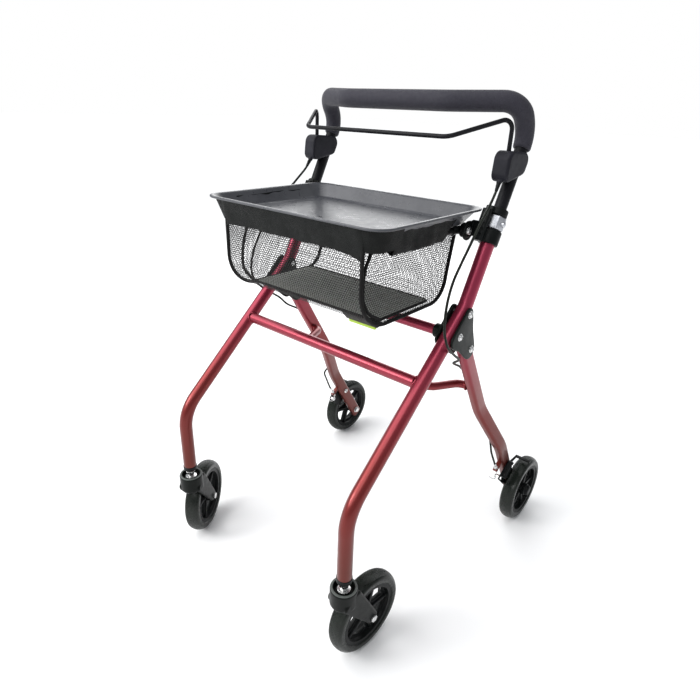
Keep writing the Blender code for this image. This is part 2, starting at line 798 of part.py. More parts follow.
def caster_fork(side, word, body):
    x = side * LEG_X
    turn = caster_turn(side)
    profile = (
        (FORK_HUB_R - 0.0025, FORK_LOW_Z),
        (FORK_HUB_R, FORK_LOW_Z + 0.0040),
        (FORK_HUB_R, FORK_TOP_Z - 0.0035),
        (FORK_HUB_R - 0.0020, FORK_TOP_Z),
        (0.0180, FORK_TOP_Z),
        (0.0165, FORK_TOP_Z - 0.0100),
    )
    hub = turned_solid((x, STEM_Y, 0), (0, 0, 1), profile, 20)
    fork = finish(f"caster_fork_{word}", hub, body, "plastic")
    outline = hull_outline(
        (
            (STEM_Y + TRAIL, WHEEL_R, 0.0120),
            (STEM_Y - 0.0100, FORK_LOW_Z + 0.0080, 0.0070),
            (STEM_Y + 0.0060, FORK_TOP_Z - 0.0110, 0.0080),
        )
    )
    for hand in (-1, 1):
        low, high = sorted((x + hand * FORK_ARM_X[0], x + hand * FORK_ARM_X[1]))
        arm = plate(outline, low, high)
        arm.transform(turn)
        join(fork, arm)
    room = rod(
        (x - FORK_ARM_X[0], STEM_Y + TRAIL, WHEEL_R),
        (x + FORK_ARM_X[0], STEM_Y + TRAIL, WHEEL_R),
        WHEEL_R + 0.0035,
        30,
    )
    room.transform(turn)
    cut(fork, room)
    cut(fork, rod((x, STEM_Y, 0.1545), (x, STEM_Y, 0.1800), 0.0058, 16))
    pin = rod((x - 0.03, STEM_Y + TRAIL, WHEEL_R), (x + 0.03, STEM_Y + TRAIL, WHEEL_R), HUB_BORE_R, 14)
    pin.transform(turn)
    cut(fork, pin)


def caster_axle(side, word, body):
    reach = FORK_ARM_X[1] + GAP
    profile = (
        (0.0035, -reach - 0.0035),
        (0.0065, -reach - 0.0024),
        (0.0065, -reach),
        (AXLE_R, -reach),
        (AXLE_R, reach),
        (0.0065, reach),
        (0.0065, reach + 0.0024),
        (0.0035, reach + 0.0035),
    )
    axle = turned_solid((side * LEG_X, STEM_Y + TRAIL, WHEEL_R), (side, 0, 0), profile, 12)
    axle.transform(caster_turn(side))
    finish(f"caster_axle_{word}", axle, body, "chrome")


def caster_wheel(side, word, body):
    turn = caster_turn(side)
    centre = turn @ Vector((side * LEG_X, STEM_Y + TRAIL, WHEEL_R))
    axis = turn.to_3x3() @ Vector((side, 0, 0))
    tyre(f"caster_tyre_{word}", centre, axis, body)
    loop = wheel_profile(0.0165, 0.0165, 0.0165)
    rim = finish(f"caster_rim_{word}", turned(centre, axis, loop, 28), body, "plastic")
    cut_windows(rim, centre, axis)


def handle_path():
    right = (
        (LEG_X, *mast_point(HANDLE_LOW_Z)),
        (LEG_X, *mast_point(0.8580)),
        (0.2115, 0.0860, 0.9065),
        (0.1080, 0.0340, 0.9035),
    )
    corners = [Vector(p) for p in right] + [Vector((-x, y, z)) for x, y, z in right[::-1]]
    radii = (0.046, 0.037, 0.060, 0.060, 0.037, 0.046)
    return rounded_path(corners, radii, math.radians(16))


def handle(body):
    path = handle_path()
    finish("handle_tube", bent_rod(path, HANDLE_R, 12), body, "handle")
    ends = [Vector((side * LEG_X, *mast_point(GRIP_LOW_Z))) for side in (RIGHT, LEFT)]
    middle = [p for p in path if p.z > GRIP_LOW_Z + 0.002]
    grip_path = [ends[0]] + middle + [ends[1]]
    finish("grip", bent_sleeve(grip_path, GRIP_R, HANDLE_BORE_R + 0.0005, 14), body, "foam")


def brake_housing(side, word, body):
    """The lever housing round the handle tube, with a slot in front for the hoop."""
    centre = on_mast(side, HOUSING_Z)
    forward = MAST_FORWARD
    circles = []
    for ahead, along, radius in HOUSING_LOBES:
        spot = centre + forward * ahead + MAST * along
        circles.append((spot.y, spot.z, radius))
    half = HOUSING_WIDTH / 2
    solid = plate(hull_outline(circles), *span(side, LEG_X - half, LEG_X + half))
    housing = finish(f"brake_housing_{word}", solid, body, "plastic")
    y, z = HOOP_PIVOT
    room = hull_outline(
        (
            (y, z, 0.0062),
            (y + 0.010, z + 0.060, 0.0062),
            (y - 0.012, z + 0.060, 0.0062),
            (y + 0.040, z + 0.055, 0.0060),
        )
    )
    slot = plate(room, *span(side, LEG_X - 0.0052, LEG_X + 0.0045))
    cut(housing, slot)
    bore = HANDLE_BORE_R
    cut(housing, rod(on_mast(side, 0.770), on_mast(side, 0.860), bore, 20))
    drill(housing, side, HOOP_PIVOT, HOOP_R + GAP, LEG_X, LEG_X + 0.0125)


def brake_hoop(body):
    y, z = HOOP_PIVOT
    right = (
        (LEG_X + 0.0105, y, z),
        (LEG_X - 0.0004, y, z),
        (LEG_X - 0.0004, 0.0600, 0.8830),
        (0.1534, -0.0300, 0.8520),
    )
    corners = list(right) + [(-a, b, c) for a, b, c in right[::-1]]
    radii = (0.0042, 0.0140, 0.0220, 0.0220, 0.0140, 0.0042)
    path = rounded_path(corners, radii, math.radians(26))
    finish("brake_hoop", bent_rod(path, HOOP_R, 8), body, "plastic")


def tray_carrier(body):
    """The hoop of rod under the tray, with a lug at each end on the clamp's boss."""
    y, z = CARRIER_BOLT
    right = ((CARRIER_X, y, z), (CARRIER_X, CARRIER_FRONT_Y, z))
    corners = list(right) + [(-a, b, c) for a, b, c in right[::-1]]
    path = rounded_path(corners, (0.030, 0.030), math.radians(22))
    carrier = finish("tray_carrier", bent_rod(path, CARRIER_R, 8), body, "plastic")
    for side, _ in SIDES:
        join(carrier, plate(hull_outline(((y, z, CARRIER_LUG_R),)), *span(side, *CARRIER_LUG_X)))
    for side, _ in SIDES:
        drill(carrier, side, CARRIER_BOLT, BOLT_R + GAP, 0.1765, 0.195)


def carrier_bolt(side, word, body):
    head = CLAMP_LUG_X[1] + GAP
    profile = (
        (BOLT_R, 0.1770),
        (BOLT_R, head),
        (0.0070, head),
        (0.0070, head + 0.0025),
        (0.0045, head + 0.0040),
    )
    bolt = turned_solid((0, *CARRIER_BOLT), (side, 0, 0), profile, 12)
    finish(f"carrier_bolt_{word}", bolt, body, "chrome")


def box_rings(levels):
    """Rounded rectangles at rising heights: each level is (half_x, y_low, y_high, corner_radius, z)."""
    rings = []
    for half_x, y_low, y_high, radius, z in levels:
        centre = (y_low + y_high) / 2
        outline = rounded_rectangle(2 * half_x, y_high - y_low, radius, 4)
        rings.append([(a, centre + b, z) for a, b in outline])
    return rings


def tray(body):
    low, high = TRAY_Y
    rim = TRAY_HALF_WIDTH
    wall = 0.0025
    under = TRAY_FLOOR_Z - 0.0035
    flare = 0.0260
    levels = (
        (rim - flare, low + flare, high - flare, 0.020, under),
        (rim - 0.0080, low + 0.0080, high - 0.0080, 0.028, TRAY_RIM_Z - 0.0050),
        (rim, low, high, 0.032, TRAY_RIM_Z - 0.0040),
        (rim, low, high, 0.032, TRAY_RIM_Z - 0.0010),
        (rim - 0.0010, low + 0.0010, high - 0.0010, 0.031, TRAY_RIM_Z),
        (rim - 0.0080, low + 0.0080, high - 0.0080, 0.027, TRAY_RIM_Z),
        (rim - flare - wall, low + flare + wall, high - flare - wall, 0.018, TRAY_FLOOR_Z),
    )
    finish("tray", ring_solid(box_rings(levels)), body, "tray")


def basket_profile(inset):
    """The side view of the basket: open at the top, large round corners below, the rear wall leaning back."""
    low, high = BASKET_Y
    bottom, top = BASKET_Z
    low += inset
    high -= inset
    bottom += inset
    front, rear = [corner - inset for corner in BASKET_CORNERS]
    foot = high - BASKET_REAR_SLOPE
    points = [(low, top + inset)]
    steps = 7
    for i in range(steps + 1):
        turn = math.pi + math.pi / 2 * i / steps
        points.append((low + front + front * math.cos(turn), bottom + front + front * math.sin(turn)))
    for i in range(steps + 1):
        turn = 1.5 * math.pi + math.pi / 2 * i / steps
        points.append((foot - rear + rear * math.cos(turn), bottom + rear + rear * math.sin(turn)))
    points.append((high, top + inset))
    return points


def basket(body):
    inside = BASKET_X - BASKET_WALL
    shell = finish("basket", plate(basket_profile(0.0), -BASKET_X, BASKET_X), body, "mesh")
    cut(shell, plate(basket_profile(BASKET_WALL), -inside, inside))


def basket_floor(body):
    low = BASKET_Y[0] + BASKET_CORNERS[0]
    high = BASKET_Y[1] - BASKET_REAR_SLOPE - BASKET_CORNERS[1]
    z = BASKET_Z[0] + BASKET_WALL + GAP
    levels = [(0.147, low, high, 0.010, height) for height in (z, z + 0.004)]
    finish("basket_floor", ring_solid(box_rings(levels)), body, "panel")


def cable_route(side):
    """The brake cable's way from the housing, past the clamp and the bracket, to the adjuster."""
    start = on_mast(side, HOUSING_Z - 0.0320, forward=0.0355)
    end = adjuster_top(side)
    right = [
        (0.2165, 0.0290, 0.7688),
        (0.2195, 0.0055, 0.7473),
        (0.2215, -0.0204, 0.7250),
        (0.2230, -0.0443, 0.6989),
        (0.2250, -0.0695, 0.6737),
        (0.2265, -0.0906, 0.6497),
        (0.2285, -0.1043, 0.6230),
        (0.2310, -0.1114, 0.5980),
        (0.2330, -0.1126, 0.5766),
        (0.2345, -0.1078, 0.5585),
        (0.2345, -0.0953, 0.5394),
        (0.2330, -0.0709, 0.5195),
        (0.2280, -0.0421, 0.4991),
    ]
    right.append((LEG_X - side * 0.0060, -0.0240, 0.4800))
    for height, shift in CABLE_ON_LEG:
        y, z = rear_point(height)
        right.append((rear_leg_x(height) - side * CABLE_ASIDE, y + shift, z))
    right += CABLE_TO_ADJUSTER[side]
    return [start] + in_side_view(right, side) + [end - REAR_DOWN * 0.016, end]


def rear_leg_x(z):
    """The rear leg's distance from the middle at a height, with its outward jog as a straight line."""
    high, low = REAR_JOG_Z
    share = min(max((high - z) / (high - low), 0.0), 1.0)
    return REAR_TOP_X + (REAR_FOOT_X - REAR_TOP_X) * share


def cable(side, word, body):
    curve = bpy.data.curves.new(f"brake_cable_{word}", "CURVE")
    curve.dimensions = "3D"
    curve.bevel_depth = CABLE_R
    curve.bevel_resolution = 2
    curve.use_fill_caps = True
    spline = curve.splines.new("POLY")
    points = smooth_route(cable_route(side), CABLE_POINTS)
    spline.points.add(len(points) - 1)
    for knot, point in zip(spline.points, points):
        knot.co = (*point, 1.0)
    curve.materials.append(MATERIALS["plastic"])
    obj = bpy.data.objects.new(curve.name, curve)
    bpy.context.scene.collection.objects.link(obj)
    obj.parent = body


clear_scene()
MATERIALS = {
    "frame": material("frame_paint", FRAME_COLOUR, 0.28, 0.6),
    "plastic": material("black_plastic", PLASTIC_COLOUR, 0.42),
    "chrome": material("chrome", CHROME_COLOUR, 0.18, 1.0),
    "lime": material("lime_plastic", (0.55, 0.80, 0.08), 0.4),
    "handle": material("handle_paint", (0.012, 0.012, 0.014), 0.35),
    "foam": material("grip_foam", (0.045, 0.043, 0.052), 0.75),
    "tyre": material("tyre_rubber", (0.03, 0.032, 0.03), 0.38),
    "tray": material("tray_plastic", (0.085, 0.088, 0.095), 0.35),
    "mesh": material("basket_mesh", (0.03, 0.03, 0.03), 0.8),
    "panel": material("basket_panel", (0.06, 0.06, 0.055), 0.7),
}


def build():
    frame = group("frame", (0, 0, 0))
    rear = group("rear_frame", (0, *HINGE_BOLT))
    handle_body = group("handle", (0, *mast_point(LEG_TOP_Z)))
    hoop_body = group("lever", (0, *HOOP_PIVOT), handle_body)
    carrier_body = group("carrier", (0, *CARRIER_BOLT))
    tray_body = group("serving_tray", (0, 0, TRAY_FLOOR_Z), carrier_body)
    trigger_body = group("trigger", (0, *BAR_BOLT))

    front_crossbar(frame)
    latch(frame)
    release_trigger(trigger_body)
    handle(handle_body)
    brake_hoop(hoop_body)
    tray_carrier(carrier_body)
    basket(carrier_body)
    basket_floor(carrier_body)
    tray(tray_body)
    rear_stay(rear)

    for side, word in SIDES:
        front_leg(side, word, frame)
        bracket_plates(side, word, frame)
        bracket_bolts(side, word, frame)
        clamp(side, word, frame)
        clamp_lug(side, word, frame)
        nut_body = group(f"nut_{word}", on_mast(side, NUT_SPAN[0]))
        clamp_nut(side, word, nut_body)
        carrier_bolt(side, word, frame)
        brake_housing(side, word, handle_body)
        cable(side, word, frame)
        rear_leg(side, word, rear)
        cable_adjuster(side, word, rear)
        brake_bolt(side, word, rear)
        arm_body = group(f"arm_{word}", (side * REAR_FOOT_X, *BRAKE_BOLT), rear)
        brake_arm(side, word, arm_body)
        rear_axle(side, word, rear)
        wheel_body = group(f"rear_wheel_{word}", (side * REAR_WHEEL_X, REAR_AXLE_Y, WHEEL_R), rear)
        rear_wheel(side, word, wheel_body)
        caster_stem(side, word, frame)
        caster_body = group(f"caster_{word}", (side * LEG_X, STEM_Y, FORK_TOP_Z))
        caster_fork(side, word, caster_body)
        caster_axle(side, word, caster_body)
        hub = caster_turn(side) @ Vector((side * LEG_X, STEM_Y + TRAIL, WHEEL_R))
        front_wheel = group(f"caster_wheel_{word}", hub, caster_body)
        caster_wheel(side, word, front_wheel)


build()
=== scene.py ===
"""Looks of the indoor rollator: painted tubes, moulded plastic, wheels, tray, net basket and cables.

Metres, +Z up, the walker faces -Y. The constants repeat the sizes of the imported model.
"""

import json
import math

import bmesh
import bpy
from mathutils import Matrix, Vector

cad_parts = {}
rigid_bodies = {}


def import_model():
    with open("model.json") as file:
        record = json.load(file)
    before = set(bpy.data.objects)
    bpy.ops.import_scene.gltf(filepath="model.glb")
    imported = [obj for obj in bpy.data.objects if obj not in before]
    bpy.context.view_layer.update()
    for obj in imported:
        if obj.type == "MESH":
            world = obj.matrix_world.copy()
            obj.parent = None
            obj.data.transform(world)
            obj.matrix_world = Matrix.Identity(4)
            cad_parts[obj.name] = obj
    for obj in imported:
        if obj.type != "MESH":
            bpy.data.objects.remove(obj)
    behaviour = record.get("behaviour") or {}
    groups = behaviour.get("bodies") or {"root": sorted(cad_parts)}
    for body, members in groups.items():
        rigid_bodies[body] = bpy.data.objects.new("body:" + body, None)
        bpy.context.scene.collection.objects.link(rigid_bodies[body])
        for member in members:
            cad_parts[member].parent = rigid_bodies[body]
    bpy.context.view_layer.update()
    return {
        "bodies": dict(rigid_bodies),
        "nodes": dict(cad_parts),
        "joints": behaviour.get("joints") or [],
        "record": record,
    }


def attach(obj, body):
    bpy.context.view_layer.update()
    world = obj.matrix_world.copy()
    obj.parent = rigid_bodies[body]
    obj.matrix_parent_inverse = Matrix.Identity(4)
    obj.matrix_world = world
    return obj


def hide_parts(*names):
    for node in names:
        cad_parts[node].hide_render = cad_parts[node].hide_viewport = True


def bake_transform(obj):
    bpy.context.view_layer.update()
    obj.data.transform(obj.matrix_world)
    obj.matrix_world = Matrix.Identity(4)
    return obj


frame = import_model()

LEFT = -1
RIGHT = 1
SIDES = ((LEFT, "left"), (RIGHT, "right"))

# Front frame
LEG_X = 0.215
LEG_R = 0.0127
LEG_BORE_R = 0.0115
STEM_Y = -0.311
LEG_BOTTOM_Z = 0.189
LOWER_BEND_Z = 0.324
UPPER_BEND = (-0.0213, 0.5847)
MAST_LEAN = math.radians(26.8)
LEG_TOP_Z = 0.7065
CROSSBAR_Z = 0.4815
CROSSBAR_R = 0.0105

# Brackets and latch
TOP_BOLT = (-0.031, 0.580)
BAR_BOLT = (-0.057, 0.547)
HINGE_BOLT = (-0.011, 0.511)
OUTER_PLATE_X = (0.2281, 0.2326)
INNER_PLATE_X = (0.1974, 0.2019)
BRACKET_LOBES = ((*TOP_BOLT, 0.0113), (-0.0655, 0.5415, 0.0143), (-0.0150, 0.5100, 0.0168))
BRACKET_DIPS = (0.0030, 0.0022)
LATCH_BAR_R = 0.0090
PULL_EYE_R = 0.0135
PULL_FOOT = (-0.0265, 0.5080, 0.0100)
PULL_HALF_WIDTHS = (0.050, 0.040)
TRIGGER_WIDTH = 0.0680
TRIGGER_DEPTH = 0.0080
TRIGGER_Z = (0.4935, 0.5050)
SCREW_R = 0.0031
SCREW_HOLE_R = 0.0034

# Rear frame
REAR_LEAN = math.radians(31.6)
REAR_TOP_X = 0.2150
REAR_FOOT_X = 0.2460
REAR_JOG_Z = (0.335, 0.225)
REAR_WIDTH = 0.018
REAR_DEPTH = 0.030
REAR_CORNER = 0.0065
STAY_R = 0.0080
STAY_SPOT = (0.0480, 0.4060)

# Wheels and brakes
WHEEL_R = 0.0773
WHEEL_WIDTH = 0.031
TYRE_INNER_R = 0.0600
REAR_WHEEL_X = 0.2740
REAR_AXLE_Y = 0.2590
HUB_BORE_R = 0.0043
AXLE_R = 0.0040
SPOKES = 5
BRAKE_BOLT_Z = 0.1600
BRAKE_PLATE_X = (0.2553, 0.2580)
BRAKE_BOSS_X = 0.2660
BRAKE_LEVER_TIP = (0.1702, 0.1453)
BRAKE_BAR = (0.2500, 0.1612)
BRAKE_BAR_X = 0.2900
ADJUSTER_Z = 0.1830
ADJUSTER_REACH = 0.0175

# Casters
TRAIL = 0.053
CASTER_REST = {LEFT: math.radians(33), RIGHT: math.radians(-4)}
FORK_TOP_Z = 0.1750
FORK_LOW_Z = 0.1370
FORK_HUB_R = 0.0235
FORK_ARM_X = (0.0175, 0.0228)
CASTER_RING = (
    (0.0184, 0.1722),
    (0.0222, 0.1722),
    (0.0226, 0.1738),
    (0.0221, 0.1750),
    (0.0190, 0.1750),
    (0.0184, 0.1742),
)
CASTER_STEM = (
    (0.0050, 0.1562),
    (0.0055, 0.1572),
    (0.0055, 0.1690),
    (0.0110, 0.1692),
    (0.0112, 0.1705),
    (0.0085, 0.1712),
    (0.0060, 0.1716),
    (0.0055, 0.2150),
)

# Handle and lever
HANDLE_R = 0.0110
GRIP_R = 0.0165
GRIP_LOW_R = 0.0148
GRIP_LOW_Z = 0.8340
HOOP_R = 0.0036
HOOP_PIVOT = (0.0600, 0.8200)
HOUSING_Z = 0.8010
HOUSING_LOBES = (
    (0.0390, 0.0000, 0.0153),
    (0.0345, -0.0205, 0.0123),
    (0.0000, 0.0180, 0.0143),
    (0.0000, 0.0078, 0.0143),
)
NUT_SPAN = (0.7085, 0.7290)
LOWER_COLLAR = (0.6860, 0.7075, 0.0170)
UPPER_COLLAR = (0.7300, 0.7405, 0.0158)
SPINE_Z = (0.6835, 0.7330)
SPINE_FORWARD = 0.0245
SPINE_INWARD = 0.0080
SPINE_SECTION = (0.016, 0.0105)
SPINE_GROOVES_Z = (0.6925, 0.7010, 0.7095, 0.7180, 0.7265)
WEB_FORWARD = 0.0150
WEB_SIZE = 0.0140
CLAMP_LUG_X = (0.1868, 0.1900)
CLAMP_LUG_R = 0.0165

# Carrier, tray and basket
CARRIER_BOLT = (0.0060, 0.7082)
CARRIER_LUG_X = (0.1775, 0.1862)
CARRIER_LUG_R = 0.0125
CARRIER_R = 0.0050
CARRIER_X = 0.1745
CARRIER_FRONT_Y = -0.2170
TRAY_HALF_WIDTH = 0.1974
TRAY_Y = (-0.2430, 0.0530)
TRAY_FLOOR_Z = 0.7170
BASKET_X = 0.1530
BASKET_Y = (-0.2270, 0.0280)
BASKET_Z = (0.5775, 0.7026)
BASKET_CORNERS = (0.066, 0.044)
BASKET_REAR_SLOPE = 0.016
BASKET_SEAMS = {
    LEFT: (
        (-0.1780, 0.7000),
        (-0.1850, 0.6807),
        (-0.1945, 0.6495),
        (-0.1953, 0.6131),
        (-0.1791, 0.5897),
        (-0.1663, 0.5800),
    ),
    RIGHT: (
        (-0.2020, 0.7080),
        (-0.2075, 0.6960),
        (-0.2190, 0.6720),
        (-0.2200, 0.6320),
        (-0.2045, 0.6060),
        (-0.1747, 0.5880),
    ),
}
BAND_THICKNESS = 0.0009
NET_PITCH = 0.0042
NET_STRAND = 0.0011
CABLE_R = 0.0022
CABLE_ASIDE = REAR_WIDTH / 2 + CABLE_R + 0.0025
CABLE_LOOP = (
    (0.2165, 0.0290, 0.7688),
    (0.2195, 0.0055, 0.7473),
    (0.2215, -0.0204, 0.7250),
    (0.2230, -0.0443, 0.6989),
    (0.2250, -0.0695, 0.6737),
    (0.2265, -0.0906, 0.6497),
    (0.2285, -0.1043, 0.6230),
    (0.2310, -0.1114, 0.5980),
    (0.2330, -0.1126, 0.5766),
    (0.2345, -0.1078, 0.5585),
    (0.2345, -0.0953, 0.5394),
    (0.2330, -0.0709, 0.5195),
    (0.2280, -0.0421, 0.4991),
)
CABLE_ON_LEG = (
    (0.455, -0.008),
    (0.425, 0.006),
    (0.400, 0.009),
    (0.365, 0.009),
    (0.325, 0.007),
    (0.285, 0.004),
    (0.252, -0.002),
)
CABLE_TO_ADJUSTER = {
    LEFT: [(0.2545, 0.1385, 0.2360), (0.2500, 0.1425, 0.2160)],
    RIGHT: [(0.2315, 0.1500, 0.2290), (0.2375, 0.1475, 0.2130)],
}
CABLE_START = (0.0320, 0.0355)
CABLE_CUT = 11

MAST = Vector((0, math.sin(MAST_LEAN), math.cos(MAST_LEAN)))
MAST_FORWARD = Vector((0, -math.cos(MAST_LEAN), math.sin(MAST_LEAN)))
REAR_DOWN = Vector((0, math.sin(REAR_LEAN), -math.cos(REAR_LEAN)))
REAR_FORWARD = Vector((0, -math.cos(REAR_LEAN), -math.sin(REAR_LEAN)))
AXIS_X = Vector((1, 0, 0))
AXIS_Z = Vector((0, 0, 1))
ORIGIN = Vector((0, 0, 0))


# Points of the frame


def mast_point(z):
    return (UPPER_BEND[0] + (z - UPPER_BEND[1]) * math.tan(MAST_LEAN), z)


def rear_point(z):
    return (REAR_AXLE_Y - (z - WHEEL_R) * math.tan(REAR_LEAN), z)


BRAKE_BOLT = rear_point(BRAKE_BOLT_Z)


def on_mast(side, z, forward=0.0, inward=0.0):
    return Vector((side * (LEG_X - inward), *mast_point(z))) + MAST_FORWARD * forward


def mirrored(points, side):
    return [Vector((side * x, y, z)) for x, y, z in points]


def span(side, low, high):
    return sorted((side * low, side * high))


# Shapes as bmeshes


def ring_at(point, across, up, outline):
    """An outline of (u, v) placed round a point by two axes."""
    return [point + across * u + up * v for u, v in outline]


def ring_solid(rings, closed=False):
    """A skin over rings of points, with a face at each end, or closed from the last ring to the first."""
    bm = bmesh.new()
    rows = [[bm.verts.new(point) for point in ring] for ring in rings]
    count = len(rows[0])
    pairs = list(zip(rows, rows[1:]))
    if closed:
        pairs.append((rows[-1], rows[0]))
    for low, high in pairs:
        for i in range(count):
            j = (i + 1) % count
            bm.faces.new((low[i], low[j], high[j], high[i]))
    if not closed:
        bm.faces.new(rows[0][::-1])
        bm.faces.new(rows[-1])
    bmesh.ops.recalc_face_normals(bm, faces=bm.faces)
    return bm


def circle(radius, sides):
    turns = [2 * math.pi * i / sides for i in range(sides)]
    return [(radius * math.cos(turn), radius * math.sin(turn)) for turn in turns]


def rounded_rectangle(width, depth, radius, arc=6):
    points = []
    for quarter, (sx, sy) in enumerate(((1, 1), (-1, 1), (-1, -1), (1, -1))):
        for i in range(arc + 1):
            turn = math.pi / 2 * (quarter + i / arc)
            x = sx * (width / 2 - radius) + radius * math.cos(turn)
            y = sy * (depth / 2 - radius) + radius * math.sin(turn)
            points.append((x, y))
    return points


def turn_of(a, b, c):
    return (b[0] - a[0]) * (c[1] - a[1]) - (b[1] - a[1]) * (c[0] - a[0])


def hull_outline(circles, steps=48):
    """The outline stretched round several circles, given as (y, z, radius)."""
    points = []
    for y, z, radius in circles:
        points += [(y + a, z + b) for a, b in circle(radius, steps)]
    points = sorted(set(points))

    def half(row):
        chain = []
        for point in row:
            while len(chain) > 1 and turn_of(chain[-2], chain[-1], point) <= 1e-9:
                chain.pop()
            chain.append(point)
        return chain[:-1]

    return half(points) + half(points[::-1])


def plate(outline, x_from, x_to, edge=0.0):
    """A flat plate with its outline in the side view, its edges rounded by that much."""
    if not edge:
        return ring_solid([[(x, y, z) for y, z in outline] for x in (x_from, x_to)])
    rings = []
    steps = 4
    for end, sign in ((x_from, 1), (x_to, -1)):
        row = []
        for i in range(steps + 1):
            turn = math.pi / 2 * i / steps
            inset = edge * (1 - math.sin(turn))
            x = end + sign * edge * (1 - math.cos(turn))
            row.append(inset_ring(outline, inset, x))
        rings += row if sign > 0 else row[::-1]
    return ring_solid(rings)


def inset_ring(outline, inset, x):
    """The outline moved inwards along its own normals, as points at that x."""
    count = len(outline)
    ring = []
    for i, (y, z) in enumerate(outline):
        before = outline[i - 1]
        after = outline[(i + 1) % count]
        along = Vector((after[0] - before[0], after[1] - before[1])).normalized()
        ring.append((x, y - along.y * inset, z + along.x * inset))
    return ring


def basis(axis):
    return Vector(axis).to_track_quat("Z", "Y").to_matrix()


def turned(centre, axis, profile, sides=48):
    """A closed profile of (radius, height) turned about an axis."""
    turn = basis(axis)
    rings = []
    for a, b in circle(1.0, sides):
        rings.append([Vector(centre) + turn @ Vector((a * r, b * r, h)) for r, h in profile])
    return ring_solid(rings, closed=True)


def turned_solid(centre, axis, profile, sides=32):
    """A profile of (radius, height) from one end face to the other, turned about an axis."""
    turn = basis(axis)
    rings = []
    for r, h in profile:
        rings.append([Vector(centre) + turn @ Vector((a, b, h)) for a, b in circle(r, sides)])
    return ring_solid(rings)


def rod(start, end, radius, sides=32, edge=0.0004):
    length = (Vector(end) - Vector(start)).length
    profile = ((radius - edge, 0), (radius, edge), (radius, length - edge), (radius - edge, length))
    return turned_solid(start, Vector(end) - Vector(start), profile, sides)


def cross_rod(side, spot, x_from, x_to, radius, sides=24, edge=0.0004):
    """A rod across the walker at (y, z), between two distances from the middle on one side."""
    return rod((side * x_from, *spot), (side * x_to, *spot), radius, sides, edge)


def hexagon(centre, axis, across, low, high, edge=0.0004):
    """A hexagon nut or head between two heights along the axis."""
    radius = across / 2 / math.cos(math.pi / 6)
    profile = ((radius - edge, low), (radius, low + edge), (radius, high - edge), (radius - edge, high))
    return turned_solid(centre, axis, profile, 6)


def dome(centre, axis, radius, low, rise, socket=0.0):
    """A domed bolt head with a hexagon socket, as profile heights along the axis."""
    profile = [(radius, low)]
    steps = 8
    for i in range(steps + 1):
        turn = math.pi / 2 * i / steps
        profile.append((max(radius * math.cos(turn), socket), low + rise * (0.25 + 0.75 * math.sin(turn))))
        if radius * math.cos(turn) <= socket:
            break
    if socket:
        profile.append((socket, low + rise * 0.45))
    return turned_solid(centre, axis, profile, 36)


def rounded_path(corners, radii, step=math.radians(3)):
    corners = [Vector(corner) for corner in corners]
    points = [corners[0]]
    for before, corner, after, radius in zip(corners, corners[1:], corners[2:], radii):
        into = (corner - before).normalized()
        out = (after - corner).normalized()
        bend = into.angle(out)
        if bend < 1e-4:
            points.append(corner)
            continue
        inset = radius * math.tan(bend / 2)
        middle = corner + (out - into).normalized() * radius / math.cos(bend / 2)
        start = corner - into * inset - middle
        axis = into.cross(out).normalized()
        count = max(2, math.ceil(bend / step))
        for i in range(count + 1):
            points.append(middle + Matrix.Rotation(bend * i / count, 3, axis) @ start)
    points.append(corners[-1])
    return points


def frames_on(path, side=None):
    """For each point: the point and two axes across the path, which turn as little as possible."""
    frames = []
    fixed = side is not None
    across = Vector(side) if fixed else (path[1] - path[0]).orthogonal()
    for i, point in enumerate(path):
        ahead = path[min(i + 1, len(path) - 1)]
        behind = path[max(i - 1, 0)]
        along = (ahead - behind).normalized()
        if 0 < i < len(path) - 1:
            along = ((ahead - point).normalized() + (point - behind).normalized()).normalized()
        guide = Vector(side) if fixed else across
        across = (guide - along * along.dot(guide)).normalized()
        frames.append((point, across, along.cross(across)))
    return frames


def rings_on(frames, profile):
    return [ring_at(*frame, profile) for frame in frames]


def tube(path, radius, sides=40, edge=0.0008):
    """A swept round bar with bevelled ends."""
    path = [Vector(p) for p in path]
    first = (path[1] - path[0]).normalized()
    last = (path[-1] - path[-2]).normalized()
    path = [path[0], path[0] + first * edge] + path[1:-1] + [path[-1] - last * edge, path[-1]]
    radii = [radius - edge] + [radius] * (len(path) - 2) + [radius - edge]
    return ring_solid([ring_at(*frame, circle(r, sides)) for frame, r in zip(frames_on(path), radii)])


def smooth_route(points, count):
    """Points read from a Catmull-Rom curve through the given ones."""
    knots = [Vector(p) for p in points]
    knots = [2 * knots[0] - knots[1]] + knots + [2 * knots[-1] - knots[-2]]
    route = []
    spans = len(knots) - 3
    for i in range(count + 1):
        place = min(i / count * spans, spans - 1e-9)
        k = int(place)
        t = place - k
        a, b, c, d = knots[k : k + 4]
        route.append(
            0.5 * (2 * b + (c - a) * t + (2 * a - 5 * b + 4 * c - d) * t * t + (3 * b - a - 3 * c + d) * t**3)
        )
    return route


def merged(*parts):
    """Several bmeshes as one; the parts may run into each other."""
    bm = bmesh.new()
    for part in parts:
        mesh = bpy.data.meshes.new("part")
        part.to_mesh(mesh)
        part.free()
        bm.from_mesh(mesh)
        bpy.data.meshes.remove(mesh)
    return bm


def evaluated(bm, *modifiers):
    """The bmesh after some modifiers, each given as (type, settings)."""
    mesh = bpy.data.meshes.new("work")
    bm.to_mesh(mesh)
    bm.free()
    work = bpy.data.objects.new("work", mesh)
    bpy.context.scene.collection.objects.link(work)
    for kind, settings in modifiers:
        modifier = work.modifiers.new(kind, kind)
        for key, value in settings.items():
            setattr(modifier, key, value)
    graph = bpy.context.evaluated_depsgraph_get()
    made = bpy.data.meshes.new_from_object(work.evaluated_get(graph))
    out = bmesh.new()
    out.from_mesh(made)
    bpy.data.objects.remove(work, do_unlink=True)
    bpy.data.meshes.remove(mesh)
    bpy.data.meshes.remove(made)
    return out


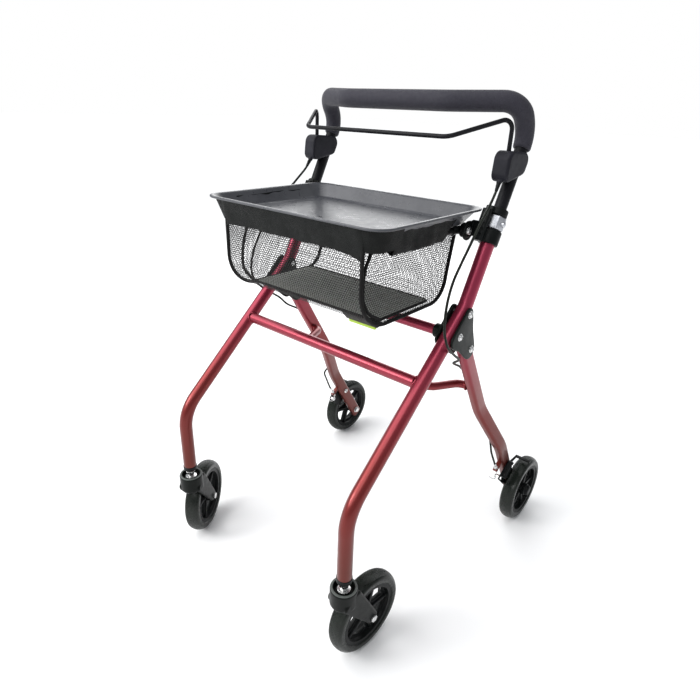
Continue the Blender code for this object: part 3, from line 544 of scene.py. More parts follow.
def moulded(parts, voxel=0.0009, smooth=5):
    """Overlapping solids melted into one moulded body with soft edges and fillets."""
    return evaluated(
        merged(*parts),
        ("REMESH", {"mode": "VOXEL", "voxel_size": voxel, "adaptivity": 0.0}),
        ("SMOOTH", {"factor": 0.5, "iterations": smooth}),
    )


def carved(bm, *cutters):
    """The bmesh with the cutters taken away from it."""
    mesh = bpy.data.meshes.new("cutter")
    hole = merged(*cutters)
    hole.to_mesh(mesh)
    hole.free()
    cutter = bpy.data.objects.new("cutter", mesh)
    bpy.context.scene.collection.objects.link(cutter)
    out = evaluated(bm, ("BOOLEAN", {"operation": "DIFFERENCE", "object": cutter, "use_self": True}))
    bpy.data.objects.remove(cutter, do_unlink=True)
    bpy.data.meshes.remove(mesh)
    return out


def placed(bm, matrix):
    copy = bm.copy()
    copy.transform(matrix)
    return copy


def piece(name, bm, body, look, stands_for=(), angle=40):
    """A named object in the row frame that rides on a body and may stand for CAD nodes."""
    mesh = bpy.data.meshes.new(name)
    bm.to_mesh(mesh)
    bm.free()
    mesh.shade_smooth()
    mesh.set_sharp_from_angle(angle=math.radians(angle))
    material, slot = LOOKS[look]
    mesh.materials.append(material)
    obj = bpy.data.objects.new(name, mesh)
    bpy.context.scene.collection.objects.link(obj)
    if body:
        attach(obj, body)
    if stands_for:
        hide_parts(*stands_for)
    return obj


# Materials


def set_inputs(node, **inputs):
    """Sets a node's inputs, each named with underscores for spaces."""
    for key, value in inputs.items():
        node.inputs[key.replace("_", " ")].default_value = value
    return node


def shader_of(material):
    return material.node_tree.nodes["Principled BSDF"]


def new_look(name, metallic=0.0, roughness=0.5, **inputs):
    material = bpy.data.materials.new(name)
    material.use_nodes = True
    set_inputs(shader_of(material), Metallic=metallic, Roughness=roughness, **inputs)
    return material


def noise(material, scale, detail=4.0, kind="ShaderNodeTexNoise"):
    """A texture in the object's own coordinates; returns its first output."""
    nodes = material.node_tree.nodes
    links = material.node_tree.links
    place = nodes.new("ShaderNodeTexCoord")
    texture = set_inputs(nodes.new(kind), Scale=scale)
    if kind == "ShaderNodeTexNoise":
        texture.inputs["Detail"].default_value = detail
    links.new(place.outputs["Object"], texture.inputs["Vector"])
    return texture.outputs[0]


def coloured(material, source, stops):
    """Feeds the base colour from a ramp of (position, colour)."""
    nodes = material.node_tree.nodes
    ramp = nodes.new("ShaderNodeValToRGB")
    elements = ramp.color_ramp.elements
    for i, (position, colour) in enumerate(stops):
        element = elements[i] if i < 2 else elements.new(position)
        element.position = position
        element.color = (*colour, 1.0)
    links = material.node_tree.links
    links.new(source, ramp.inputs["Fac"])
    links.new(ramp.outputs["Color"], shader_of(material).inputs["Base Color"])


def ranged(material, source, low, high):
    """Lets the roughness wander between two values."""
    scale = material.node_tree.nodes.new("ShaderNodeMapRange")
    set_inputs(scale, From_Min=0.25, From_Max=0.75, To_Min=low, To_Max=high)
    links = material.node_tree.links
    links.new(source, scale.inputs["Value"])
    links.new(scale.outputs["Result"], shader_of(material).inputs["Roughness"])


def bumped(material, source, depth, strength=1.0):
    """Adds relief of that depth in metres, on top of any relief that is already there."""
    links = material.node_tree.links
    shader = shader_of(material)
    bump = set_inputs(material.node_tree.nodes.new("ShaderNodeBump"), Strength=strength, Distance=depth)
    before = shader.inputs["Normal"].links
    if before:
        links.new(before[0].from_socket, bump.inputs["Normal"])
    links.new(source, bump.inputs["Height"])
    links.new(bump.outputs["Normal"], shader.inputs["Normal"])


def candy_paint(name):
    """Metallic paint with a soft sheen and painted light by height: painted shade, darker and browner,
    towards the floor and a painted pink highlight towards the top.
    """
    mat = new_look(name, 0.70, 0.34, Coat_Weight=0.35, Coat_Roughness=0.16, Coat_IOR=1.45)
    nodes = mat.node_tree.nodes
    links = mat.node_tree.links
    place = nodes.new("ShaderNodeTexCoord")
    split = nodes.new("ShaderNodeSeparateXYZ")
    # Height drives painted light: the ramp runs from painted shade near the floor to a painted highlight
    # higher up.
    rise = set_inputs(nodes.new("ShaderNodeMapRange"), From_Min=0.22, From_Max=0.62)
    links.new(place.outputs["Object"], split.inputs[0])
    links.new(split.outputs["Z"], rise.inputs["Value"])
    flake = noise(mat, 1500, 1.0)
    flake_and_painted_light = nodes.new("ShaderNodeMath")
    flake_and_painted_light.operation = "MULTIPLY_ADD"
    flake_and_painted_light.inputs[1].default_value = 0.16
    links.new(flake, flake_and_painted_light.inputs[0])
    links.new(rise.outputs["Result"], flake_and_painted_light.inputs[2])
    # low is painted shade near the floor, high is a painted pink highlight higher up, middle is the red in
    # between.
    low = (0.110, 0.013, 0.006)
    middle = (0.200, 0.018, 0.018)
    high = (0.350, 0.030, 0.072)
    coloured(mat, flake_and_painted_light.outputs[0], ((0.05, low), (0.5, middle), (1.0, high)))
    ranged(mat, noise(mat, 60, 3.0), 0.32, 0.42)
    bumped(mat, noise(mat, 220, 2.0), 0.00002, 0.25)
    return mat


def moulded_plastic(name, dark, light, rough, grain=0.00006, grain_scale=1400, **inputs):
    mat = new_look(name, 0.0, rough, **inputs)
    coloured(mat, noise(mat, 38, 5.0), ((0.3, dark), (0.72, light)))
    ranged(mat, noise(mat, 90, 4.0), rough - 0.06, rough + 0.08)
    bumped(mat, noise(mat, grain_scale, 2.0), grain, 0.8)
    return mat


def metal(name, dark, light, rough, grain=0.00004, scale=700):
    mat = new_look(name, 1.0, rough)
    coloured(mat, noise(mat, 160, 5.0), ((0.3, dark), (0.7, light)))
    ranged(mat, noise(mat, 240, 4.0), rough - 0.07, rough + 0.1)
    bumped(mat, noise(mat, scale, 3.0), grain, 0.7)
    return mat


def woven(name, dark, light, rough, thread, depth=0.00025, **inputs):
    """Cloth with a plain weave that shows at close range."""
    mat = new_look(name, 0.0, rough, Sheen_Weight=0.03, Sheen_Roughness=0.5, **inputs)
    coloured(mat, noise(mat, 70, 5.0), ((0.3, dark), (0.7, light)))
    ranged(mat, noise(mat, 120, 4.0), rough - 0.08, rough + 0.08)
    for direction in ("X", "Z"):
        wave = noise(mat, thread, kind="ShaderNodeTexWave")
        wave.node.bands_direction = direction
        wave.node.inputs["Distortion"].default_value = 1.2
        wave.node.inputs["Detail"].default_value = 1.0
        bumped(mat, wave, depth, 0.6)
    return mat


def foam_look():
    foam = new_look("grip_foam", 0.0, 0.75, Sheen_Weight=0.10, Specular_IOR_Level=0.3)
    pores = ((0.3, (0.016, 0.015, 0.022)), (0.75, (0.040, 0.038, 0.052)))
    coloured(foam, noise(foam, 900, 2.0), pores)
    ranged(foam, noise(foam, 150, 3.0), 0.65, 0.85)
    bumped(foam, noise(foam, 1100, 0.0, "ShaderNodeTexVoronoi"), 0.0003, 0.6)
    return foam


def rubber_look():
    rubber = new_look("tyre_rubber", 0.0, 0.3, Specular_IOR_Level=0.3)
    dust = ((0.3, (0.0012, 0.0028, 0.0012)), (0.75, (0.0060, 0.0100, 0.0060)))
    coloured(rubber, noise(rubber, 60, 5.0), dust)
    ranged(rubber, noise(rubber, 180, 5.0), 0.2, 0.42)
    bumped(rubber, noise(rubber, 500, 4.0), 0.0001, 0.6)
    return rubber


def make_looks():
    """Every look by its short name, with the slot that it belongs to."""
    foam = foam_look()
    rubber = rubber_look()
    dull = {"Specular_IOR_Level": 0.14}
    paint = candy_paint("frame_paint")
    lime = moulded_plastic("lime_plastic", (0.45, 0.70, 0.05), (0.60, 0.85, 0.10), 0.38)
    cast = metal("cast_metal", (0.42, 0.43, 0.46), (0.62, 0.63, 0.66), 0.36, 0.00012)
    zinc = metal("zinc_plate", (0.60, 0.60, 0.60), (0.78, 0.78, 0.77), 0.22)
    looks = {
        "paint": (paint, "frame_paint"),
        "lime": (lime, "lime_plastic"),
        "cast": (cast, "chrome"),
        "chrome": (zinc, "chrome"),
        "foam": (foam, "grip_foam"),
        "rubber": (rubber, "tyre_rubber"),
    }
    plastics = (
        ("plastic", "black_plastic", (0.0020, 0.0026, 0.0026), (0.0055, 0.0066, 0.0066), 0.40, 0.00006, 1400),
        ("gloss", "bracket_plastic", (0.0030, 0.0052, 0.0042), (0.0075, 0.0115, 0.0095), 0.34, 0.00005, 1400),
        ("housing", "housing_plastic", (0.011, 0.011, 0.015), (0.022, 0.022, 0.029), 0.50, 0.0001, 1400),
        ("fork", "fork_plastic", (0.0008, 0.0016, 0.0010), (0.0025, 0.0042, 0.0030), 0.36, 0.00006, 1400),
        ("ring", "caster_ring", (0.050, 0.058, 0.053), (0.100, 0.112, 0.104), 0.36, 0.00006, 1400),
        ("handle", "handle_paint", (0.0050, 0.0050, 0.0065), (0.0095, 0.0095, 0.0120), 0.42, 0.00004, 1800),
        ("tray", "tray_plastic", (0.052, 0.054, 0.062), (0.070, 0.072, 0.081), 0.30, 0.00005, 1600),
        ("cable", "cable_sheath", (0.0060, 0.0075, 0.0055), (0.0180, 0.0205, 0.0155), 0.34, 0.00004, 900),
    )
    slots = {"handle": "handle_paint", "tray": "tray_plastic"}
    for key, name, dark, light, rough, grain, scale in plastics:
        extra = {} if key in ("ring", "tray") else dull
        made = moulded_plastic(name, dark, light, rough, grain, scale, **extra)
        looks[key] = (made, slots.get(key, "black_plastic"))
    cloths = (
        ("net", "basket_net", (0.006, 0.006, 0.006), (0.022, 0.022, 0.021), 0.62, 900),
        ("tape", "basket_tape", (0.003, 0.003, 0.003), (0.009, 0.009, 0.009), 0.68, 420),
        ("cloth", "basket_cloth", (0.0020, 0.0026, 0.0024), (0.0060, 0.0072, 0.0066), 0.60, 500),
        ("panel", "basket_panel", (0.340, 0.352, 0.320), (0.420, 0.434, 0.398), 0.75, 330),
    )
    for key, name, dark, light, rough, thread in cloths:
        made = woven(name, dark, light, rough, thread, Specular_IOR_Level=0.15)
        looks[key] = (made, "basket_panel" if key == "panel" else "basket_mesh")
    return looks


# Front frame


def slant():
    return (UPPER_BEND[0] - STEM_Y) / (UPPER_BEND[1] - LOWER_BEND_Z)


def crossbar_spot():
    return (STEM_Y + (CROSSBAR_Z - LOWER_BEND_Z) * slant(), CROSSBAR_Z)


def front_leg(side, word):
    corners = mirrored(
        (
            (LEG_X, STEM_Y, LEG_BOTTOM_Z),
            (LEG_X, STEM_Y, LOWER_BEND_Z),
            (LEG_X, *UPPER_BEND),
            (LEG_X, *mast_point(LEG_TOP_Z)),
        ),
        side,
    )
    path = rounded_path(corners, (0.085, 0.070), math.radians(2))
    socket = [path[-1], path[-1] - MAST * 0.118]
    bevel = 0.0008
    stations = [path[0], path[0] + AXIS_Z * bevel] + path[1:]
    rings = rings_on(frames_on(stations, AXIS_X), circle(LEG_R, 48))
    rings[0] = rings_on(frames_on(path[:2], AXIS_X), circle(LEG_R - bevel, 48))[0]
    inside = [ring_at(p, AXIS_X, MAST.cross(AXIS_X), circle(LEG_BORE_R, 48)) for p in socket]
    piece(f"front_leg_tube_{word}", ring_solid(rings + inside), "frame", "paint", [f"front_leg_{word}"])
    foot = Vector((side * LEG_X, STEM_Y, LEG_BOTTOM_Z))
    sleeve = (
        (0.0004, -0.0010),
        (0.0009, 0.0004),
        (0.0009, 0.0072),
        (0.0001, 0.0080),
        (-0.002, 0.0080),
        (-0.002, -0.0010),
    )
    profile = [(LEG_R + wall, height) for wall, height in sleeve]
    piece(f"front_leg_plug_{word}", turned(foot, AXIS_Z, profile), "frame", "plastic")


def saddle_weld(side):
    """A bead where the crossbar meets the leg."""
    y, z = crossbar_spot()
    lean = Vector((slant(), 1)).normalized()
    across = Vector((lean.y, -lean.x))
    path = []
    steps = 48
    for i in range(steps):
        turn = 2 * math.pi * i / steps
        offset = Vector((math.cos(turn), math.sin(turn))) * (CROSSBAR_R + 0.0004)
        aside = offset.dot(across)
        x = LEG_X - math.sqrt(LEG_R**2 - aside**2) - 0.0003
        path.append(Vector((side * x, y + offset.x, z + offset.y)))
    radii = [0.0016 + 0.0003 * math.sin(9 * 2 * math.pi * i / steps) for i in range(steps)]
    rings = []
    for i, point in enumerate(path):
        along = (path[(i + 1) % steps] - path[i - 1]).normalized()
        out = (point - Vector((point.x, y, z))).normalized()
        up = along.cross(out).normalized()
        rings.append([point + out * a * radii[i] + up * b * radii[i] for a, b in circle(1.0, 10)])
    return ring_solid(rings, closed=True)


def crossbar():
    spot = crossbar_spot()
    bar = rod((-LEG_X + 0.0115, *spot), (LEG_X - 0.0115, *spot), CROSSBAR_R, 48)
    piece("front_crossbar_tube", bar, "frame", "paint", ["front_crossbar"])
    for side, word in SIDES:
        piece(f"crossbar_weld_{word}", saddle_weld(side), "frame", "paint")


def dipped(outline, dips):
    """An outline whose long straight edges bow inwards, each by its own depth."""
    made = []
    depths = list(dips)
    count = len(outline)
    for i, start in enumerate(outline):
        end = outline[(i + 1) % count]
        made.append(start)
        run = Vector((end[0] - start[0], end[1] - start[1]))
        if run.length < 0.020 or not depths:
            continue
        inward = Vector((-run.y, run.x)).normalized()
        depth = depths.pop(0)
        for step in range(1, 12):
            share = step / 12
            shift = inward * depth * math.sin(math.pi * share) ** 2
            made.append((start[0] + run.x * share + shift.x, start[1] + run.y * share + shift.y))
    return made


def brackets(side, word):
    outline = dipped(hull_outline(BRACKET_LOBES), BRACKET_DIPS)
    for place, xs in (("outer", OUTER_PLATE_X), ("inner", INNER_PLATE_X)):
        low, high = span(side, *xs)
        plate_mesh = plate(outline, low, high, 0.0013)
        piece(f"bracket_shell_{place}_{word}", plate_mesh, "frame", "gloss", [f"bracket_{place}_{word}"])
    head = OUTER_PLATE_X[1]
    inner = INNER_PLATE_X[0]
    outwards = AXIS_X * side
    for place, spot in (("top", TOP_BOLT), ("bar", BAR_BOLT), ("hinge", HINGE_BOLT)):
        centre = Vector((0, *spot))
        washer = ((0.0066, head), (0.0068, head + 0.0003), (0.0066, head + 0.0008))
        shank = cross_rod(side, spot, inner - 0.002, head, SCREW_R)
        nut = hexagon(centre, outwards, 0.0095, inner - 0.0036, inner)
        button = dome(centre, outwards, 0.0054, head + 0.0007, 0.0034, 0.0019)
        bolt = merged(turned_solid(centre, outwards, washer), shank, nut, button)
        piece(f"bracket_{place}_screw_{word}", bolt, "frame", "chrome", [f"bracket_{place}_bolt_{word}"], 30)


def latch():
    end = INNER_PLATE_X[0] - 0.0003
    y, z = BAR_BOLT
    bar = rod((-end, y, z), (end, y, z), LATCH_BAR_R, 40)
    piece("latch_tube", bar, "frame", "paint", ["latch_bar"])
    for side, word in SIDES:
        collar = cross_rod(side, BAR_BOLT, end - 0.0005, end - 0.012, LATCH_BAR_R + 0.0032, 36, 0.001)
        piece(f"latch_boss_{word}", collar, "frame", "gloss")
    wide, narrow = PULL_HALF_WIDTHS
    grip = hull_outline(((y, z, PULL_EYE_R - 0.0002), (*PULL_FOOT[:2], PULL_FOOT[2] - 0.0002)), 40)
    neck = hull_outline(((y, z, PULL_EYE_R - 0.0006), (y + 0.012, z - 0.018, 0.0098)), 40)
    parts = [plate(grip, -narrow, narrow, 0.003), plate(neck, -wide, wide, 0.003)]
    body = moulded(parts, 0.001, 4)
    foot_y, foot_z, foot_r = PULL_FOOT
    under = foot_z - foot_r
    slot = rounded_rectangle(TRIGGER_WIDTH + 0.0012, TRIGGER_DEPTH + 0.0012, 0.003)
    room = ring_solid([[(a, foot_y + b, h) for a, b in slot] for h in (under - 0.008, TRIGGER_Z[1] + 0.004)])
    bore = rod((-0.08, y, z), (0.08, y, z), LATCH_BAR_R + 0.0002, 40, 0.0)
    piece("pull_handle_body", carved(body, bore, room), "frame", "plastic", ["pull_handle"])
    rings = []
    low, high = TRIGGER_Z
    for inset, height in ((0.0012, low), (0.0004, low + 0.0003), (0.0, low + 0.0012), (0.0, high)):
        outline = rounded_rectangle(TRIGGER_WIDTH - 2 * inset, TRIGGER_DEPTH - 2 * inset, 0.0027)
        rings.append([(a, foot_y + b, height) for a, b in outline])
    piece("release_button", ring_solid(rings), "trigger", "lime", ["release_trigger"])


# Clamp, nut and carrier


def block_on_mast(side, heights, forward, inward, width, depth, corner):
    """A rounded block along the mast, in front of it."""
    rings = []
    for z in heights:
        centre = on_mast(side, z, forward=forward, inward=inward)
        rings.append(ring_at(centre, AXIS_X, MAST_FORWARD, rounded_rectangle(width, depth, corner)))
    return ring_solid(rings)


def clamp(side, word):
    """The two collars on the mast and the spine in front that joins them, with the tray carrier's lug."""
    collars = (LOWER_COLLAR, UPPER_COLLAR)
    parts = [rod(on_mast(side, low), on_mast(side, high), outer, 48, 0.0008) for low, high, outer in collars]
    heights = (SPINE_Z[0] + 0.0004, SPINE_Z[1] - 0.0004)
    parts.append(block_on_mast(side, heights, SPINE_FORWARD, SPINE_INWARD, *SPINE_SECTION, 0.003))
    for low, high, _ in collars:
        heights = (low + 0.0012, high - 0.0012)
        parts.append(block_on_mast(side, heights, WEB_FORWARD, SPINE_INWARD, WEB_SIZE, WEB_SIZE, 0.002))
    y, z = CARRIER_BOLT
    lug_x, face = CLAMP_LUG_X
    lug = hull_outline(((y, z, CLAMP_LUG_R - 0.0002), (y + 0.0130, z + 0.0030, 0.0118)))
    parts.append(plate(lug, *span(side, lug_x, face - 0.0008), 0.0008))
    for outer, inner in ((CLAMP_LUG_R - 0.0002, 0.0138), (0.0112, 0.0090)):
        rim = ((outer, face - 0.0012), (outer, face - 0.0004), (outer - 0.0006, face), (inner, face))
        rim += ((inner - 0.0004, face - 0.0012),)
        parts.append(turned((0, y, z), (side, 0, 0), rim, 56))
    arm_r = 0.0043
    spots = ((0.0125, -0.0060), (0.0145, 0.0043), (0.0155, 0.0118))
    arm = hull_outline([(y + back, z + up, arm_r) for back, up in spots], 24)
    spine_x = LEG_X - SPINE_INWARD - SPINE_SECTION[0] / 2
    parts.append(plate(arm, *span(side, lug_x + 0.0002, spine_x + 0.0020), 0.0006))
    body = moulded(parts, 0.0007, 2)
    holes = []
    for (low, high, _), bore in zip(collars, (LEG_R + 0.0002, HANDLE_R + 0.0003)):
        holes.append(rod(on_mast(side, low - 0.004), on_mast(side, high + 0.004), bore, 48, 0.0))
    holes.append(cross_rod(side, CARRIER_BOLT, lug_x - 0.003, face + 0.004, SCREW_HOLE_R, edge=0.0))
    width, depth = SPINE_SECTION
    ahead = SPINE_FORWARD + depth / 2
    for height in SPINE_GROOVES_Z:
        heights = (height - 0.0026, height + 0.0026)
        holes.append(block_on_mast(side, heights, ahead, SPINE_INWARD, width - 0.005, 0.0032, 0.0012))
    stands_for = [f"mast_clamp_{word}", f"clamp_lug_{word}"]
    piece(f"mast_clamp_body_{word}", carved(body, *holes), "frame", "plastic", stands_for)
    centre = Vector((0, y, z))
    shank = cross_rod(side, CARRIER_BOLT, CARRIER_LUG_X[0], face + 0.0002, SCREW_R)
    washer = ((0.0068, face + 0.0001), (0.0070, face + 0.0005), (0.0068, face + 0.0010))
    head = dome(centre, (side, 0, 0), 0.0062, face + 0.0009, 0.0034, 0.0021)
    bolt = merged(shank, turned_solid(centre, (side, 0, 0), washer), head)
    piece(f"carrier_screw_{word}", bolt, "frame", "chrome", [f"carrier_bolt_{word}"], 30)


def height_nut(side, word):
    low, high = NUT_SPAN
    radius = 0.0172
    edge = 0.0016
    rings = []
    soft = edge * 0.6
    rounding = ((low, radius - edge), (low + soft, radius), (high - soft, radius), (high, radius - edge))
    for z, out in rounding:
        ring = []
        for k in range(6):
            turn = math.radians(50) + math.pi / 3 * k
            ring.append(on_mast(side, z, forward=out * math.sin(turn), inward=-out * math.cos(turn)))
        rings.append(ring)
    bevel = {"width": 0.0009, "segments": 3, "limit_method": "ANGLE", "angle_limit": 0.3}
    block = evaluated(ring_solid(rings), ("BEVEL", bevel))
    start = on_mast(side, (low + high) / 2, inward=-0.0125)
    knob = ((0.0052, 0), (0.0052, 0.0040), (0.0046, 0.0056), (0.0030, 0.0065), (0.0012, 0.0068))
    button = turned_solid(start, (side, 0, 0), knob, 28)
    bore = rod(on_mast(side, low - 0.004), on_mast(side, high + 0.004), HANDLE_R + 0.0003, 48, 0.0)
    body = merged(carved(block, bore), button)
    piece(f"height_nut_block_{word}", body, f"nut_{word}", "cast", [f"height_nut_{word}"], 30)


def carrier():
    y, z = CARRIER_BOLT
    right = ((CARRIER_X, y, z), (CARRIER_X, CARRIER_FRONT_Y, z))
    corners = list(right) + [(-a, b, c) for a, b, c in right[::-1]]
    path = rounded_path(corners, (0.030, 0.030), math.radians(4))
    piece("tray_carrier_rod", tube(path, CARRIER_R, 28), "carrier", "plastic", ["tray_carrier"])
    for side, word in SIDES:
        disc = plate(hull_outline([(y, z, CARRIER_LUG_R - 0.0002)]), *span(side, *CARRIER_LUG_X), 0.0022)
        sleeve = rod((side * CARRIER_X, y - 0.030, z), (side * CARRIER_X, y + 0.006, z), 0.0066, 28)
        piece(f"carrier_lug_{word}", moulded([disc, sleeve], 0.0007, 4), "carrier", "plastic")


# Tray and basket


def box_ring(half_x, y_low, y_high, radius, z, arc=14):
    centre = (y_low + y_high) / 2
    outline = rounded_rectangle(2 * half_x, y_high - y_low, radius, arc)
    return [(a, centre + b, z) for a, b in outline]


def tray():
    low, high = TRAY_Y
    under = (
        (0.0330, 0.7135),
        (0.0290, 0.7136),
        (0.0262, 0.7143),
        (0.0238, 0.7165),
        (0.0090, 0.7364),
        (0.0076, 0.7378),
        (0.0056, 0.7384),
        (0.0012, 0.7385),
        (0.0003, 0.7389),
        (0.0, 0.7396),
    )
    over = (
        (0.0, 0.7412),
        (0.0004, 0.7420),
        (0.0014, 0.7424),
        (0.0042, 0.7424),
        (0.0062, 0.7420),
        (0.0080, 0.7408),
        (0.0098, 0.7386),
        (0.0240, 0.7206),
        (0.0262, 0.7186),
        (0.0290, 0.7175),
        (0.0330, 0.71705),
        (0.0420, TRAY_FLOOR_Z),
        (0.0700, TRAY_FLOOR_Z),
    )
    rings = []
    for inset, z in under + over:
        radius = 0.032 - 0.42 * inset
        rings.append(box_ring(TRAY_HALF_WIDTH - inset, low + inset, high - inset, radius, z))
    piece("tray_shell", ring_solid(rings), "serving_tray", "tray", ["tray"], 50)


def basket_line(inset=0.0, top=BASKET_Z[1], steps=40):
    """The basket's side view, from the top of the front wall, under it and up the rear wall."""
    low, high = BASKET_Y
    bottom = BASKET_Z[0] + inset
    low += inset
    high -= inset
    front, rear = [corner - inset for corner in BASKET_CORNERS]
    foot = high - BASKET_REAR_SLOPE
    points = [(low, top)]
    for i in range(steps + 1):
        turn = math.pi + math.pi / 2 * i / steps
        points.append((low + front + front * math.cos(turn), bottom + front + front * math.sin(turn)))
    for i in range(steps + 1):
        turn = 1.5 * math.pi + math.pi / 2 * i / steps
        points.append((foot - rear + rear * math.cos(turn), bottom + rear + rear * math.sin(turn)))
    points.append((high, top))
    return points


def reader(points):
    """A function from a distance along a line of (y, z) points to the point there, and the line's length."""
    lengths = [0.0]
    for a, b in zip(points, points[1:]):
        lengths.append(lengths[-1] + math.dist(a, b))

    def at(distance):
        k = 0
        while k < len(points) - 2 and lengths[k + 1] < distance:
            k += 1
        t = (distance - lengths[k]) / max(lengths[k + 1] - lengths[k], 1e-9)
        t = min(max(t, 0.0), 1.0)
        (y0, z0), (y1, z1) = points[k], points[k + 1]
        return (y0 + (y1 - y0) * t, z0 + (z1 - z0) * t)

    return at, lengths[-1]


def clipped(u, v, width, height):
    return (min(max(u, 0.0), width), min(max(v, 0.0), height))


def net(width, height, spot, inside):
    """Hexagonal netting over a width by height patch: spot maps it into space, inside says where it is."""
    bm = bmesh.new()
    radius = NET_PITCH / math.sqrt(3)
    hole = radius - NET_STRAND / 2 / math.cos(math.pi / 6)
    known = {}

    def vertex(u, v):
        key = (round(u * 2e5), round(v * 2e5))
        if key not in known:
            known[key] = bm.verts.new(spot(*clipped(u, v, width, height)))
        return known[key]

    rows = int(height / (1.5 * radius)) + 1
    columns = int(width / NET_PITCH) + 1
    for row in range(rows + 1):
        for column in range(columns + 1):
            u = (column + 0.5 * (row % 2)) * NET_PITCH
            v = row * 1.5 * radius
            if u > width or v > height or not inside(u, v):
                continue
            turns = [math.pi / 6 + math.pi / 3 * k for k in range(6)]
            outer = [vertex(u + radius * math.cos(t), v + radius * math.sin(t)) for t in turns]
            edge = [clipped(u + hole * math.cos(t), v + hole * math.sin(t), width, height) for t in turns]
            inner = [bm.verts.new(spot(*place)) for place in edge]
            for k in range(6):
                j = (k + 1) % 6
                corners = (outer[k], outer[j], inner[j], inner[k])
                if len(set(corners)) == 4:
                    try:
                        bm.faces.new(corners)
                    except ValueError:
                        pass
    return bm


def basket():
    at, length = reader(basket_line())
    width = 2 * BASKET_X

    def on_wall(u, v):
        y, z = at(v)
        side_pull = (u / width * 2 - 1) ** 2
        sag = 0.0016 * (1 - side_pull) * math.sin(math.pi * v / length)
        return Vector((u - BASKET_X, y, z - sag * 0.6))

    netting = net(width, length, on_wall, lambda u, v: True)
    wall = piece("basket_net_wall", netting, "carrier", "net", ["basket"])
    low, bottom = BASKET_Y[0], BASKET_Z[0]
    depth = BASKET_Y[1] - low
    outline = basket_line(0.0008, BASKET_Z[1] + 0.0100)
    rise = BASKET_Z[1] + 0.0100 - bottom
    for side, word in SIDES:

        def on_side(u, v, side=side):
            bulge = 0.0022 * math.sin(math.pi * u / depth) * math.sin(math.pi * v / rise)
            out = 0.0010 * math.sin(40 * u) * math.sin(31 * v)
            return Vector((side * (BASKET_X + bulge + out - 0.0006), low + u, bottom + v))

        panel = net(depth, rise, on_side, lambda u, v: within(outline, low + u, bottom + v))
        obj = piece(f"basket_net_side_{word}", panel, "carrier", "net")


def within(outline, y, z):
    inside = False
    for (y0, z0), (y1, z1) in zip(outline, outline[1:] + outline[:1]):
        if (z0 > z) != (z1 > z) and y < (y1 - y0) * (z - z0) / (z1 - z0) + y0:
            inside = not inside
    return inside


def piping():
    """The bound edges of the basket: a round tape along each side, and a second one inside it."""
    line = basket_line(0.0010, BASKET_Z[1] + 0.006, 20)
    for side, word in SIDES:
        edge = [(side * (BASKET_X + 0.0004), y, z) for y, z in line]
        piece(f"basket_piping_{word}", tube(edge, 0.0032, 14), "carrier", "tape")
    for side, word in SIDES:
        path = smooth_route([(side * BASKET_X, y, z) for y, z in BASKET_SEAMS[side]], 40)
        piece(f"basket_seam_{word}", tube(path, 0.0027, 12), "carrier", "tape")


def ribbon(rows, columns, spot):
    """A piece of cloth of the band's thickness: spot(u, v) gives the point for u and v from 0 to 1."""
    bm = bmesh.new()
    grid = []
    for j in range(rows + 1):
        grid.append([bm.verts.new(spot(i / columns, j / rows)) for i in range(columns + 1)])
    for low, high in zip(grid, grid[1:]):
        for i in range(columns):
            bm.faces.new((low[i], low[i + 1], high[i + 1], high[i]))
    return evaluated(bm, ("SOLIDIFY", {"thickness": BAND_THICKNESS, "offset": 0.0}))


def read_table(table, place):
    """Straight-line reading of a table of (place, value)."""
    for (a, low), (b, high) in zip(table, table[1:]):
        if place <= b:
            return low + (high - low) * max(0.0, (place - a) / (b - a))
    return table[-1][1]


def corner_line(half_x, y_low, radius):
    """The line round a front corner, from the front seam to the side flap, for shares from 0 to 1."""
    x_mid = half_x - radius
    y_mid = y_low + radius
    path = [(0.1490, y_low), (x_mid, y_low)]
    for i in range(1, 12):
        turn = math.radians(-90 + 90 * i / 12)
        path.append((x_mid + radius * math.cos(turn), y_mid + radius * math.sin(turn)))
    path += [(half_x, y_mid), (half_x, -0.1780)]
    read, length = reader(path)
    return lambda share: read(share * length)


def band_front():
    """The cloth band under the tray's lip, across the front."""
    hem = (
        (-0.150, 0.6950),
        (-0.120, 0.6985),
        (0.100, 0.6985),
        (0.120, 0.6975),
        (0.136, 0.6942),
        (0.1516, 0.6888),
    )
    left_end = ((0.0, -0.1500), (0.45, -0.1485), (0.70, -0.1640), (1.0, -0.1720))
    right_end = ((0.0, 0.1520), (0.5, 0.1560), (1.0, 0.1590))

    def on_front(u, v):
        x = read_table(left_end, v) * (1 - u) + read_table(right_end, v) * u
        low = read_table(hem, x) + 0.0006 * math.sin(120 * x) * math.sin(37 * x)
        z = low + (0.7376 - low) * v
        lean = -0.2283 - 0.0092 * v**1.6
        fold = 0.0007 * math.sin(55 * x + 3 * v) + 0.0005 * math.sin(140 * x) * (1 - v)
        corner = max(0.0, abs(x) - 0.146)
        return Vector((x, lean + fold + corner * corner * 22, z))

    front = piece("basket_band_front", ribbon(14, 120, on_front), "carrier", "cloth")


def band_flap(side, word):
    """The side flap of the band, wrapped down over the carrier rod."""
    section = (
        (0.1842, 0.7345),
        (0.1822, 0.7255),
        (0.1808, 0.7160),
        (0.1804, 0.7070),
        (0.1797, 0.6990),
        (0.1783, 0.6968),
        (0.1740, 0.6990),
        (0.1680, 0.7012),
        (0.1610, 0.7012),
        (0.1540, 0.7002),
    )
    read, length = reader(section)
    front_edge = ((0.0, -0.1788), (0.60, -0.1934), (1.0, -0.1900))
    rear_edge = ((0.0, -0.0200), (0.36, -0.0433), (0.60, -0.0540), (1.0, -0.0500))

    def on_flap(u, v):
        x, z = read(v * length)
        y = read_table(front_edge, v) * (1 - u) + read_table(rear_edge, v) * u
        fold = 0.0007 * math.sin(70 * y + 4 * v) + 0.0004 * math.sin(190 * y)
        return Vector((side * (x + fold), y, z + 0.0006 * math.sin(60 * y)))

    flap = piece(f"basket_band_side_{word}", ribbon(30, 70, on_flap), "carrier", "cloth")


